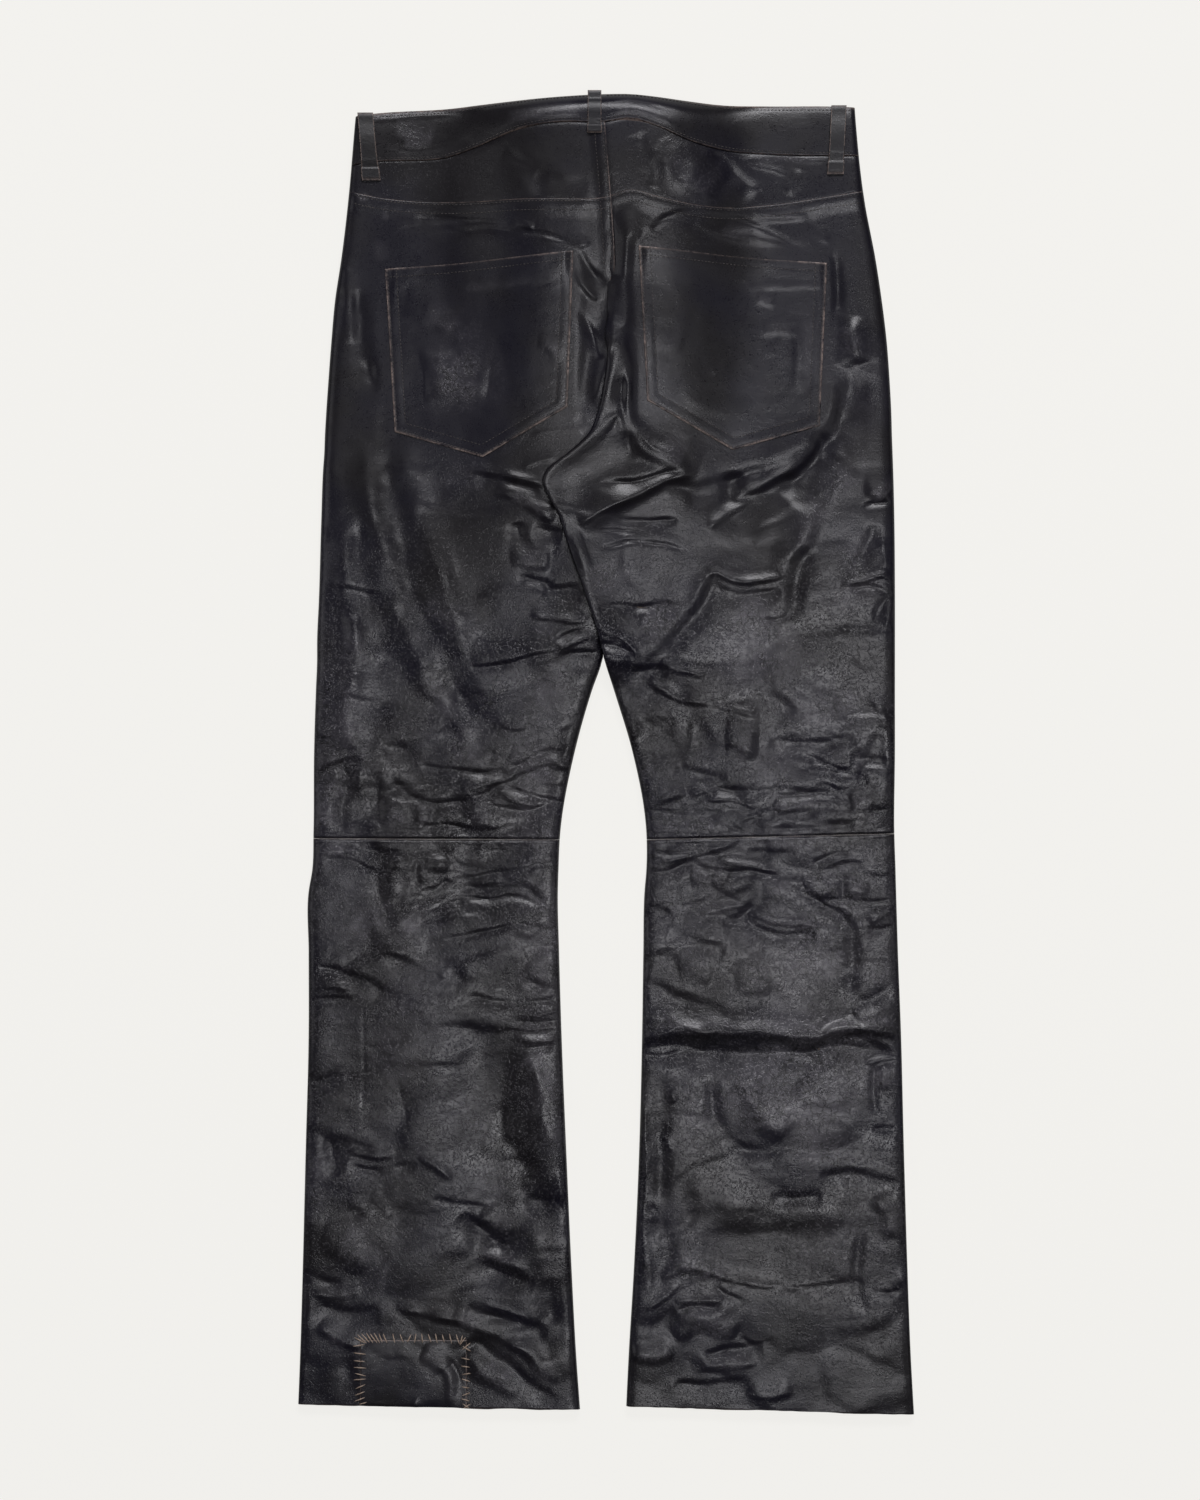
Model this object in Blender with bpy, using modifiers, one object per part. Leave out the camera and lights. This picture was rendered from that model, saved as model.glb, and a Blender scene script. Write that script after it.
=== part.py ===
"""Leather trousers laid flat on their front, waist towards +Y and the back facing up.

Every panel is a leather wall lofted through sections across the garment. The back panels
arch over the front ones, which lie on the floor, so the legs and the seat stay hollow.
Tables and functions work in millimetres, and the meshes are made in metres.
"""

import math
from functools import partial

import bmesh
import bpy
import numpy as np

MM = 0.001

# Walls and gaps.
WALL = 1.3
BAND_WALL = 1.6
LOOP_WALL = 1.5
PATCH_WALL = 1.0
SEAM_GAP = 0.3
SIDE_SEAM_GAP = 0.4
LAID_ON_GAP = 0.7

# The outline, a row for each height above the middle: the outer and inner edge of each leg,
# how high the back stands over the floor, the height of the side seams and the round of the
# side folds. Above the fork the left inner edge runs hidden under the right back panel.
OUTLINE_COLUMNS = ("y", "left_out", "left_in", "right_in", "right_out", "loft", "seam", "fold")
OUTLINE = (
    (560, -205, -3, -3, 205, 13.0, 6.5, 8),
    (521, -208.5, -1, -1, 207.5, 13.0, 6.5, 8),
    (459, -214, 4, 4, 214.5, 13.5, 5.0, 11),
    (409, -220, 7, 7, 224, 14.0, 4.2, 14),
    (376, -225, 7, 7, 229, 14.0, 4.0, 15),
    (343, -228, 13, 3, 233, 14.0, 4.0, 16),
    (310, -230.5, 12, -1, 235.5, 14.0, 4.0, 16),
    (281, -232.5, 8, -7, 237, 14.0, 4.0, 16),
    (263, -233.5, 1, -15, 237.5, 14.0, 4.0, 16),
    (249, -234, -14, -30, 238, 14.0, 4.0, 16),
    (235, -235, -33, -48, 238.5, 14.0, 4.0, 16),
    (193, -236.5, -24, -38, 239.5, 14.0, 4.0, 16),
    (127, -238.5, -6, -16, 240, 14.0, 4.0, 16),
    (92, -240, -1, -5, 240, 13.5, 4.0, 16),
    (77, -240, -3.2, -1.2, 240, 13.5, 4.0, 16),
    (51, -241, -12, 7, 240, 13.0, 4.0, 16),
    (1, -242.5, -26, 22, 240, 12.5, 4.0, 16),
    (-66, -243, -38, 33.5, 239.5, 12.0, 4.0, 14),
    (-97, -244, -39.5, 33.5, 240.5, 12.0, 4.0, 14),
    (-115, -247, -40, 32, 241, 12.0, 4.0, 14),
    (-165, -247, -39, 31, 242.5, 12.0, 4.0, 14),
    (-232, -247, -37, 30, 245, 12.0, 4.0, 14),
    (-331, -249.5, -33, 27.5, 247.5, 12.0, 4.0, 14),
    (-431, -252, -28.5, 23, 250.5, 11.0, 4.0, 14),
    (-497, -254, -25, 19, 253, 10.5, 3.8, 13),
    (-560, -256.5, -20.5, 16, 256.5, 10.0, 3.6, 12),
)

# The seams round the waist, a row for each place across: the band's top edge, the seam
# below the band and the seam below the yoke.
WAIST_COLUMNS = ("x", "top", "band", "yoke")
WAIST = (
    (-215, 527, 487, 466),
    (-192, 530, 490, 461),
    (-129, 534, 494, 456),
    (-105, 537, 502, 456),
    (-71, 541, 515, 457),
    (-38, 544, 520, 457),
    (0, 546, 520, 458),
    (20, 546, 523, 464),
    (41, 544, 517, 459),
    (70, 540, 505, 453),
    (95, 537, 499, 451),
    (136, 536, 496, 454),
    (184, 536, 495, 461),
    (215, 535, 495, 466),
)
MOUTH_HEIGHT = 11.5
BAND_TURN = math.radians(75)

# The seat stands up in a broad dome, a row for each height: its share of the full rise.
SEAT_RISE = 23.0
SEAT_REACH = 100.0
SEAT_CENTRE = -5.0
SEAT_COLUMNS = ("y", "share")
SEAT = ((60, 0.0), (130, 0.08), (200, 0.22), (300, 0.5), (380, 0.75), (450, 0.95), (520, 1.0), (560, 1.0))

# Where the right back panel rolls over the left one above the fork.
INNER_ROUND = 14.0
ROLL_ANGLE = math.radians(-60)
ROLL_DEPTH = 3.5
ROLL_CLEARANCE = 0.6
ROLL_LIFT = 8.0
ROLL_REACH = 32.0
ROLL_STARTS = (50, 85)
LIFT_STARTS = (50, 82)
LIFT_ENDS = (330, 400)
OVER_LEFT_STARTS = (50, 80)
RIGHT_ROLL_ENDS = (330, 385)
LEFT_ROLL_ENDS = (385, 405)
LEFT_DIP = 3.5
LEFT_DIP_STARTS = (85, 150)
TOUCHING = 1.0

# The largest folds, a row for each: three points of the crest or trough, its height
# (a trough's is below zero) and its half width.
FOLD_COLUMNS = ("x0", "y0", "x1", "y1", "x2", "y2", "height", "width")
FOLDS = (
    (16, 452, 18, 420, 12, 386, 4.0, 9),
    (20, 350, 0, 318, -8, 278, 3.5, 11),
    (16, 345, 22, 262, 74, 234, 3.0, 9),
    (-20, 186, 22, 214, 70, 236, 3.5, 13),
    (-110, 72, -52, 82, -8, 92, 2.5, 12),
    (30, 100, 60, 70, 100, 48, 1.5, 14),
    (206, 305, 150, 225, 84, 204, -2.0, 14),
    (192, 300, 165, 250, 118, 213, 2.0, 14),
    (30, -237, 122, -226, 214, -231, 4.5, 10),
    (30, -251, 120, -249, 243, -253, -3.0, 9),
    (-214, 214, -206, 110, -214, 16, 1.5, 15),
    (-152, 184, -128, 105, -82, 22, 1.5, 15),
    (-150, 436, -95, 440, -30, 430, 1.5, 10),
    (44, 436, 95, 450, 176, 434, -2.0, 10),
)
FOLD_SAMPLES = 14
CREASE_ROWS = (-222, -232, -242, -252, -264)

# The knee seams and the hems, at each leg's outer and inner edge.
KNEE = {"left": (-71, -72), "right": (-67, -72)}
HEM = {"left": (-541, -545), "right": (-549, -543)}
SEAM_REACH = {"left": (-243.0, -38.0), "right": (240.0, 34.0)}

# The front: its waistband, the centre seam, and how far it is held off the floor by the button.
BAND_WIDTH = 40.0
FRONT_HALF = 207.0
FRONT_DIP = 16.0
FRONT_REST = 2.8
FRONT_RAMP = 26.0
FRONT_SEAM_GAP = 0.5
LOOP_FOOT = 16.0
FRONT_ROUND = 9.0
FRONT_THIGH_TOP = 480.0
FRONT_CURVE_ROWS = (60, 70, 80, 95, 115, 400, 420, 440, 455)
FRONT_MIDDLE_PLACE = -2.2
FRONT_MIDDLE_SPAN = 150.0
FORK_ROUND_ENDS = (-5, 35)
CLOSING_LAP = 22.0
CLOSING_STEP = 14.0
CLOSING_ROOM = 2.0
FORK = 77.0
FLY_WIDTH = 34.0
FLY_FOOT = 345.0
FLY_HEAD = 464.0
FRONT_LOOP_BOW = 0.3
BUTTON_RADIUS = 8.5
BUTTON_THICKNESS = 2.2
BUTTON_RIM = 0.5
BUTTON_SIDES = 24

# The back pockets: each corner from the top left, round to the foot and up again.
POCKET_CORNERS = ("top_left", "top_right", "low_right", "tip", "low_left")
POCKETS = {
    "left": ((-183, 401), (-27, 414), (-32, 286), (-102, 245), (-175, 266)),
    "right": ((27, 418), (183, 406), (177, 271), (105, 251), (34, 291)),
}
POCKET_CALM = 12.0

# The mended corner of the left hem.
PATCH_LEFT = -204.0
PATCH_RIGHT = -115.5
PATCH_TOP = -487.0
PATCH_INSET = 0.4

# The belt loops, a row for each: the layer it is sewn to, the middle of its head and of its
# foot, and its width.
LOOP_COLUMNS = ("name", "layer", "head_x", "head_y", "foot_x", "foot_y", "width")
LOOPS = (
    ("belt_loop_back_left", "back", -199.5, 531, -196, 475, 14),
    ("belt_loop_back_middle", "back", -9.5, 547.9, -9.5, 512, 11.5),
    ("belt_loop_back_right", "back", 193, 537, 190, 480, 14),
    ("belt_loop_front_left", "front", -98, 519, -98, 474, 12),
    ("belt_loop_front_right", "front", 98, 522, 98, 477, 12),
)
LOOP_BOW = 1.2

# How finely the walls are cut into faces.
EDGE_STEPS = 3
INNER_STEPS = 5
THIGH_MIDDLE = 10
THIGH_CROWDING = 1.4
SHIN_MIDDLE = 7
FRONT_MIDDLE = 4
FRONT_BAND_MIDDLE = 6
YOKE_ROWS = 4
THIGH_ROWS = 25
SHIN_ROWS = 17
BAND_ROWS = 5
FRONT_THIGH_ROWS = 10
FRONT_SHIN_ROWS = 6
FRONT_BAND_ROWS = 3
POCKET_GRID = (9, 8)
PATCH_GRID = (7, 5)
LOOP_ROWS = 8
FLY_GRID = (3, 9)
SETTLING_ROUNDS = 6
DIFFERENCE = 1e-3
SLOPE_STEP = 0.5
SHARP_ANGLE = math.radians(40)


def smooth(at, stations, values):
    """Cubic curve through the stations, its slope at each taken from the stations beside it."""
    stations = np.asarray(stations, float)
    values = np.asarray(values, float)
    slopes = np.gradient(values, stations)
    i = np.clip(np.searchsorted(stations, at) - 1, 0, len(stations) - 2)
    step = stations[i + 1] - stations[i]
    t = np.clip((at - stations[i]) / step, 0, 1)
    rise = values[i + 1] - values[i]
    return (
        values[i]
        + rise * t * t * (3 - 2 * t)
        + step * t * (1 - t) * (slopes[i] * (1 - t) - slopes[i + 1] * t)
    )


def column(table, columns, name):
    """One named column of a table."""
    return np.array([row[columns.index(name)] for row in table], float)


def outline(y, name):
    """A column of the outline at the height y."""
    heights = column(OUTLINE, OUTLINE_COLUMNS, "y")[::-1]
    return smooth(y, heights, column(OUTLINE, OUTLINE_COLUMNS, name)[::-1])


def waist(x, name):
    """A seam of the waist at the place x."""
    return smooth(x, column(WAIST, WAIST_COLUMNS, "x"), column(WAIST, WAIST_COLUMNS, name))


def ease(value, start, end):
    """0 before start, 1 after end, and an S between them."""
    t = np.clip((value - start) / (end - start), 0, 1)
    return t * t * (3 - 2 * t)


def folds(x, y):
    """Heights of all the folds: each is a soft ridge along a curve through its three points."""
    total = np.zeros(np.broadcast(x, y).shape)
    t = np.linspace(0, 1, FOLD_SAMPLES)
    for row in FOLDS:
        fold = dict(zip(FOLD_COLUMNS, row))
        path = [
            (1 - t) * (1 - 2 * t) * fold[a + "0"] + 4 * t * (1 - t) * fold[a + "1"]
            + t * (2 * t - 1) * fold[a + "2"]
            for a in "xy"
        ]
        near = np.full(total.shape, np.inf)
        for i in range(FOLD_SAMPLES - 1):
            ax, ay = path[0][i], path[1][i]
            dx, dy = path[0][i + 1] - ax, path[1][i + 1] - ay
            along = np.clip(((x - ax) * dx + (y - ay) * dy) / (dx * dx + dy * dy), 0, 1)
            near = np.minimum(near, np.hypot(x - ax - along * dx, y - ay - along * dy))
        total = total + fold["height"] * np.exp(-((near / fold["width"]) ** 2))
    return total


def under_pocket(x, y):
    """1 under a back pocket, where the doubled leather lies smooth, fading to 0 round it."""
    total = 0.0
    for corners in POCKETS.values():
        (left, low), (right, high) = np.min(corners, axis=0), np.max(corners, axis=0)
        across = ease(x, left - POCKET_CALM, left) * ease(-x, -right - POCKET_CALM, -right)
        total = total + across * ease(y, low, low + 3 * POCKET_CALM) * ease(-y, -high - POCKET_CALM, -high)
    return total


def crown(x, y):
    """Height of the back's outer face over the floor, before its edges are rounded."""
    share = smooth(y, column(SEAT, SEAT_COLUMNS, "y"), column(SEAT, SEAT_COLUMNS, "share"))
    dome = SEAT_RISE * share * np.exp(-(((x - SEAT_CENTRE) / SEAT_REACH) ** 4))
    return outline(y, "loft") + dome + folds(x, y) * (1 - under_pocket(x, y))


def lap(y):
    """How far the right back panel is rolled over the left one at the height y, from 0 to 1."""
    return ease(y, *LIFT_STARTS) - ease(y, *LIFT_ENDS)


def back_face(side, x, y):
    """Height of the outer face of one side of the back, with the waistband turned down."""
    seam = waist(x, "band")
    height = crown(x, np.minimum(y, seam))
    if side == "right":
        inner = outline(y, "right_in")
        height = height + ROLL_LIFT * lap(y) * np.exp(-np.abs(x - inner) / ROLL_REACH)
    share = np.clip((y - seam) / (waist(x, "top") - seam), 0, 1 / math.sin(BAND_TURN))
    turned = np.sqrt(np.maximum(1 - (share * math.sin(BAND_TURN)) ** 2, 0))
    left_over = (turned - math.cos(BAND_TURN)) / (1 - math.cos(BAND_TURN))
    return np.where(y > seam, MOUTH_HEIGHT + (height - MOUTH_HEIGHT) * left_over, height)


def back_point(side, c, y, gap=0.0):
    """A point of the back's outer face. The place across, c, goes from the side fold (0 to 1)
    over the flat (1 to 2) to the inner edge (2 to 3)."""
    inward = 1 if side == "left" else -1
    outer = outline(y, side + "_out")
    inner = outline(y, side + "_in")
    apart = outline(y, "left_in") < outline(y, "right_in") + TOUCHING
    inner = np.where(apart, inner - inward * gap / 2, inner)
    side_round = outline(y, "fold")
    turn = np.minimum(c, 1) * math.pi / 2
    b = np.minimum(3 - c, 1)
    if side == "left":
        rolled = 1 - ease(y, *LEFT_ROLL_ENDS)
        start = 0 * y
    else:
        rolled = 1 - ease(y, *RIGHT_ROLL_ENDS)
        start = ROLL_ANGLE * ease(y, *ROLL_STARTS)
    roll = start + (math.pi / 2 - start) * b
    near_outer = side_round * (1 - np.cos(turn))
    near_inner = INNER_ROUND * (rolled * (1 - np.cos(roll)) + (1 - rolled) * b)
    m = np.clip(c - 1, 0, 1)
    flat = (outer + inward * side_round) * (1 - m) + (inner - inward * INNER_ROUND) * m
    x = np.where(c < 1, outer + inward * near_outer, np.where(c > 2, inner - inward * near_inner, flat))
    top = back_face(side, x, y)
    seam = outline(y, "seam")
    at_side = seam + (top - seam) * np.sin(turn)
    if side == "left":
        low = seam + (top - LEFT_DIP - seam) * ease(y, *LEFT_DIP_STARTS)
    else:
        over_left = crown(inner, y) + ROLL_DEPTH + ROLL_CLEARANCE
        low = seam + (over_left - seam) * ease(y, *OVER_LEFT_STARTS)
    rise = np.sin(roll)
    curled = low + (top - low) * np.maximum(rise, 0) + ROLL_DEPTH * np.minimum(rise, 0)
    at_inner = (1 - rolled) * top + rolled * curled
    z = np.where(c < 1, at_side, np.where(c > 2, at_inner, top))
    return x, z


def front_rest(x, y):
    """Height of the front's outer face over the floor."""
    foot = front_top(x) - BAND_WIDTH - LOOP_FOOT
    return FRONT_REST * ease(y, foot - FRONT_RAMP, foot)


def front_top(x):
    """The front waistband's top edge, which dips at the middle."""
    ends = (waist(-FRONT_HALF, "top"), waist(FRONT_HALF, "top"))
    level = ends[0] + (ends[1] - ends[0]) * (x + FRONT_HALF) / (2 * FRONT_HALF)
    return level - FRONT_DIP * (1 - (x / FRONT_HALF) ** 2)


def front_point(side, c, y, gap=0.0):
    """A point of the front's outer face, with c across as on the back."""
    inward = 1 if side == "left" else -1
    outer = outline(y, side + "_out")
    middle = FRONT_MIDDLE_PLACE * (1 - ease(y, FORK, FORK + FRONT_MIDDLE_SPAN))
    middle = middle - inward * SEAM_GAP / 2
    split = outline(np.minimum(y, FORK), side + "_in")
    inner = np.where(y < FORK, split, middle)
    if side == "left":
        inner = np.minimum(inner, middle)
    else:
        inner = np.maximum(inner, middle)
    turn = np.minimum(c, 1) * math.pi / 2
    b = np.minimum(3 - c, 1)
    rolled = 1 - ease(y - FORK, *FORK_ROUND_ENDS)
    roll = math.pi / 2 * b
    near_outer = FRONT_ROUND * (1 - np.cos(turn))
    near_inner = FRONT_ROUND * (rolled * (1 - np.cos(roll)) + (1 - rolled) * b)
    m = np.clip(c - 1, 0, 1)
    flat = (outer + inward * FRONT_ROUND) * (1 - m) + (inner - inward * FRONT_ROUND) * m
    x = np.where(c < 1, outer + inward * near_outer, np.where(c > 2, inner - inward * near_inner, flat))
    rest = front_rest(x, y)
    seam = outline(y, "seam") - SIDE_SEAM_GAP
    at_side = seam + (rest - seam) * np.sin(turn)
    at_inner = (1 - rolled) * rest + rolled * (seam + (rest - seam) * np.sin(roll))
    return x, np.where(c < 1, at_side, np.where(c > 2, at_inner, rest))


def surface(point, c, v, low, high):
    """Points of a panel at c across and v up from its lower edge (0) to its upper one (1)."""
    y = low(0.0 * c) + v * (high(0.0 * c) - low(0.0 * c))
    for _ in range(SETTLING_ROUNDS):
        x = point(c, y)[0]
        y = low(x) + v * (high(x) - low(x))
    x, z = point(c, y)
    return np.stack([x, y + 0 * x, z], axis=-1)


def wall(point, across, up, low, high, thickness, facing):
    """The outer and the inner face of a panel: the inner one is moved along the normals."""
    c, v = np.meshgrid(across, up)
    outer = surface(point, c, v, low, high)
    along_c = surface(point, c + DIFFERENCE, v, low, high) - surface(point, c - DIFFERENCE, v, low, high)
    along_v = surface(point, c, v + DIFFERENCE, low, high) - surface(point, c, v - DIFFERENCE, low, high)
    normal = np.cross(along_c, along_v)
    normal /= np.linalg.norm(normal, axis=-1, keepdims=True)
    middle = normal[normal.shape[0] // 2, normal.shape[1] // 2, 2]
    normal *= facing * np.sign(middle)
    return outer, outer - normal * thickness


def shell(name, outer, inner, material, collection):
    """A closed wall between two grids of points that face each other."""
    rows, columns = outer.shape[:2]
    number = np.arange(rows * columns).reshape(rows, columns)
    quads = np.stack(
        [number[:-1, :-1], number[:-1, 1:], number[1:, 1:], number[1:, :-1]], axis=-1
    ).reshape(-1, 4)
    rim = np.concatenate(
        [number[0, :-1], number[:-1, -1], number[-1, :0:-1], number[:0:-1, 0]]
    )
    after = np.roll(rim, -1)
    under = rows * columns
    sides = np.stack([after, rim, rim + under, after + under], axis=-1)
    faces = np.concatenate([quads, quads[:, ::-1] + under, sides])
    points = np.concatenate([outer.reshape(-1, 3), inner.reshape(-1, 3)]) * MM
    mesh = bpy.data.meshes.new(name)
    mesh.from_pydata(points.tolist(), [], faces.tolist())
    work = bmesh.new()
    work.from_mesh(mesh)
    bmesh.ops.triangulate(work, faces=work.faces)
    bmesh.ops.recalc_face_normals(work, faces=work.faces)
    work.to_mesh(mesh)
    work.free()
    mesh.shade_smooth()
    mesh.set_sharp_from_angle(angle=SHARP_ANGLE)
    mesh.materials.append(material)
    piece = bpy.data.objects.new(name, mesh)
    collection.objects.link(piece)
    return piece


def places_across(edge_steps, middle_steps, inner_steps, crowding=1.0):
    """The places across a panel, closer together where its edges turn. Crowding above 1
    moves the middle ones towards the inner edge."""
    middle = 1 - (1 - np.linspace(0, 1, middle_steps, endpoint=False)) ** crowding
    return np.concatenate(
        [
            np.linspace(0, 1, edge_steps, endpoint=False),
            1 + middle,
            np.linspace(2, 3, inner_steps + 1),
        ]
    )


def between(side, ends, gap):
    """A seam that runs straight from a leg's outer edge to its inner one, moved up by the gap."""
    outer, inner = ends
    start, end = SEAM_REACH[side]
    return lambda x: outer + (inner - outer) * (x - start) / (end - start) + gap


def round_waist(name, gap):
    """A seam round the waist, moved up by the gap."""
    return lambda x: waist(x, name) + gap


def below_front_band(x):
    """The upper edge of the front thigh panels."""
    return front_top(x) - BAND_WIDTH - FRONT_SEAM_GAP / 2


def front_band_foot(x):
    """The lower edge of the front waistband."""
    return front_top(x) - BAND_WIDTH + FRONT_SEAM_GAP / 2


def rows_with(low, high, count, extra=()):
    """Shares of a panel's height: even steps, and the extra heights that lie within it."""
    even = np.linspace(0, 1, count)
    inside = [(y - low) / (high - low) for y in extra if low < y < high]
    kept = [v for v in even if all(abs(v - w) > 0.4 / count for w in inside) or v in (0, 1)]
    return np.array(sorted(kept + inside))


def build_back(leather, collection):
    """The back: yoke, thigh and shin on each side, and the waistband over both."""
    half = SEAM_GAP / 2
    across = places_across(EDGE_STEPS, THIGH_MIDDLE, INNER_STEPS, THIGH_CROWDING)
    shin_across = places_across(EDGE_STEPS, SHIN_MIDDLE, EDGE_STEPS)
    for side in ("left", "right"):
        point = partial(back_point, side, gap=SEAM_GAP)
        low, high = round_waist("yoke", half), round_waist("band", -half)
        faces = wall(point, across, np.linspace(0, 1, YOKE_ROWS), low, high, WALL, 1)
        shell(f"back_yoke_{side}", *faces, leather, collection)
        low, high = between(side, KNEE[side], half), round_waist("yoke", -half)
        faces = wall(point, across, np.linspace(0, 1, THIGH_ROWS), low, high, WALL, 1)
        shell(f"back_thigh_{side}", *faces, leather, collection)
        low, high = between(side, HEM[side], 0), between(side, KNEE[side], -half)
        creases = CREASE_ROWS if side == "right" else ()
        rows = rows_with(HEM[side][0], KNEE[side][0], SHIN_ROWS, creases)
        faces = wall(point, shin_across, rows, low, high, WALL, 1)
        shell(f"back_shin_{side}", *faces, leather, collection)
    build_back_band(across, leather, collection)


def build_back_band(across, leather, collection):
    """The back waistband, one piece from side seam to side seam, turned down at its top."""
    halves = []
    turns = np.sin(np.linspace(0, BAND_TURN, BAND_ROWS)) / math.sin(BAND_TURN)
    low, high = round_waist("band", SEAM_GAP / 2), round_waist("top", 0)
    for side in ("left", "right"):
        point = partial(back_point, side)
        halves.append(wall(point, across, turns, low, high, BAND_WALL, 1))
    left, right = halves
    outer = np.concatenate([left[0], right[0][:, ::-1][:, 1:]], axis=1)
    inner = np.concatenate([left[1], right[1][:, ::-1][:, 1:]], axis=1)
    shell("waistband_back", outer, inner, leather, collection)


def build_front(leather, collection):
    """The front: thigh and shin on each side, the fly strip behind the centre seam."""
    half = SEAM_GAP / 2
    across = places_across(EDGE_STEPS, FRONT_MIDDLE, EDGE_STEPS)
    for side in ("left", "right"):
        point = partial(front_point, side)
        knee = between(side, KNEE[side], half)
        rows = rows_with(KNEE[side][0], FRONT_THIGH_TOP, FRONT_THIGH_ROWS, FRONT_CURVE_ROWS)
        faces = wall(point, across, rows, knee, below_front_band, WALL, -1)
        shell(f"front_thigh_{side}", *faces, leather, collection)
        low, high = between(side, HEM[side], 0), between(side, KNEE[side], -half)
        faces = wall(point, across, np.linspace(0, 1, FRONT_SHIN_ROWS), low, high, WALL, -1)
        shell(f"front_shin_{side}", *faces, leather, collection)
    fly_x = np.linspace(-FLY_WIDTH / 2, FLY_WIDTH / 2, FLY_GRID[0])
    fly_y = np.linspace(FLY_FOOT, FLY_HEAD, FLY_GRID[1])
    x, y = np.meshgrid(fly_x, fly_y)
    under = front_rest(x, y) + WALL + LAID_ON_GAP
    shell(
        "fly_strip", np.stack([x, y, under + WALL], -1), np.stack([x, y, under], -1),
        leather, collection,
    )


def front_band_point(side, c, y):
    """A point of one half of the front waistband, which runs past the middle by half the lap.
    The right half steps up there to lie inside the left one."""
    inward = 1 if side == "left" else -1
    x, z = front_point(side, np.minimum(c, 2), y)
    lapped = CLOSING_LAP / 2
    start = outline(y, side + "_out") + inward * FRONT_ROUND
    m = np.clip(c - 1, 0, 2)
    x = np.where(c > 1, start * (1 - m) + inward * lapped * m, x)
    step = 0 * x
    if side == "right":
        end = lapped + CLOSING_ROOM
        step = (BAND_WALL + SEAM_GAP) * ease(-x, -end - CLOSING_STEP, -end)
    return x, np.where(c > 1, FRONT_REST + step, z)


def build_front_band(leather, collection):
    """The front waistband in two halves, the right end lapped inside the left one."""
    edge = places_across(EDGE_STEPS, FRONT_BAND_MIDDLE, 1)[:-2]
    lapped = CLOSING_LAP / 2
    reach = FRONT_HALF - FRONT_ROUND
    for side in ("left", "right"):
        across = [*edge, 2.0]
        if side == "right":
            end = lapped + CLOSING_ROOM
            step_places = (end + CLOSING_STEP, end + CLOSING_STEP / 2, end)
            across += [1 + (reach - place) / (reach + lapped) for place in step_places]
        faces = wall(
            partial(front_band_point, side), np.array(sorted(across)),
            np.linspace(0, 1, FRONT_BAND_ROWS), front_band_foot, front_top, BAND_WALL, -1,
        )
        shell(f"waistband_front_{side}", *faces, leather, collection)


def back_normal(side, x, y):
    """Unit normals of the back's outer face over the plan."""
    step = SLOPE_STEP
    slope_x = (back_face(side, x + step, y) - back_face(side, x - step, y)) / (2 * step)
    slope_y = (back_face(side, x, y + step) - back_face(side, x, y - step)) / (2 * step)
    normal = np.stack([-slope_x, -slope_y, np.ones_like(slope_x)], axis=-1)
    return normal / np.linalg.norm(normal, axis=-1, keepdims=True)


def laid_on(name, side, x, y, thickness, leather, collection):
    """A piece laid on the back: the back's own points under it, moved out."""
    base = np.stack([x, y, back_face(side, x, y)], axis=-1)
    normal = back_normal(side, x, y)
    inner = base + normal * LAID_ON_GAP
    return shell(name, inner + normal * thickness, inner, leather, collection)


def build_pockets(leather, collection):
    """The back pockets: straight sides, and a foot that comes down to a point."""
    for side, corners in POCKETS.items():
        at = dict(zip(POCKET_CORNERS, np.array(corners, float)))
        s = np.linspace(0, 1, POCKET_GRID[0])[None, :, None]
        t = np.linspace(0, 1, POCKET_GRID[1])[:, None, None]
        top = at["top_left"] * (1 - s) + at["top_right"] * s
        tip_share = (at["tip"][0] - at["low_left"][0]) / (at["low_right"][0] - at["low_left"][0])
        s = s + (tip_share - 0.5) * 4 * s * (1 - s)
        foot = np.where(
            s < tip_share,
            at["low_left"] + (at["tip"] - at["low_left"]) * s / tip_share,
            at["tip"] + (at["low_right"] - at["tip"]) * (s - tip_share) / (1 - tip_share),
        )
        place = foot * (1 - t) + top * t
        laid_on(f"back_pocket_{side}", side, place[..., 0], place[..., 1], WALL, leather, collection)


def build_patch(leather, collection):
    """The patch over the left hem."""
    hem = between("left", HEM["left"], PATCH_INSET)
    s, t = np.meshgrid(np.linspace(0, 1, PATCH_GRID[0]), np.linspace(0, 1, PATCH_GRID[1]))
    x = PATCH_LEFT + (PATCH_RIGHT - PATCH_LEFT) * s
    y = hem(x) + (PATCH_TOP - hem(x)) * t
    laid_on("hem_patch", "left", x, y, PATCH_WALL, leather, collection)


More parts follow.
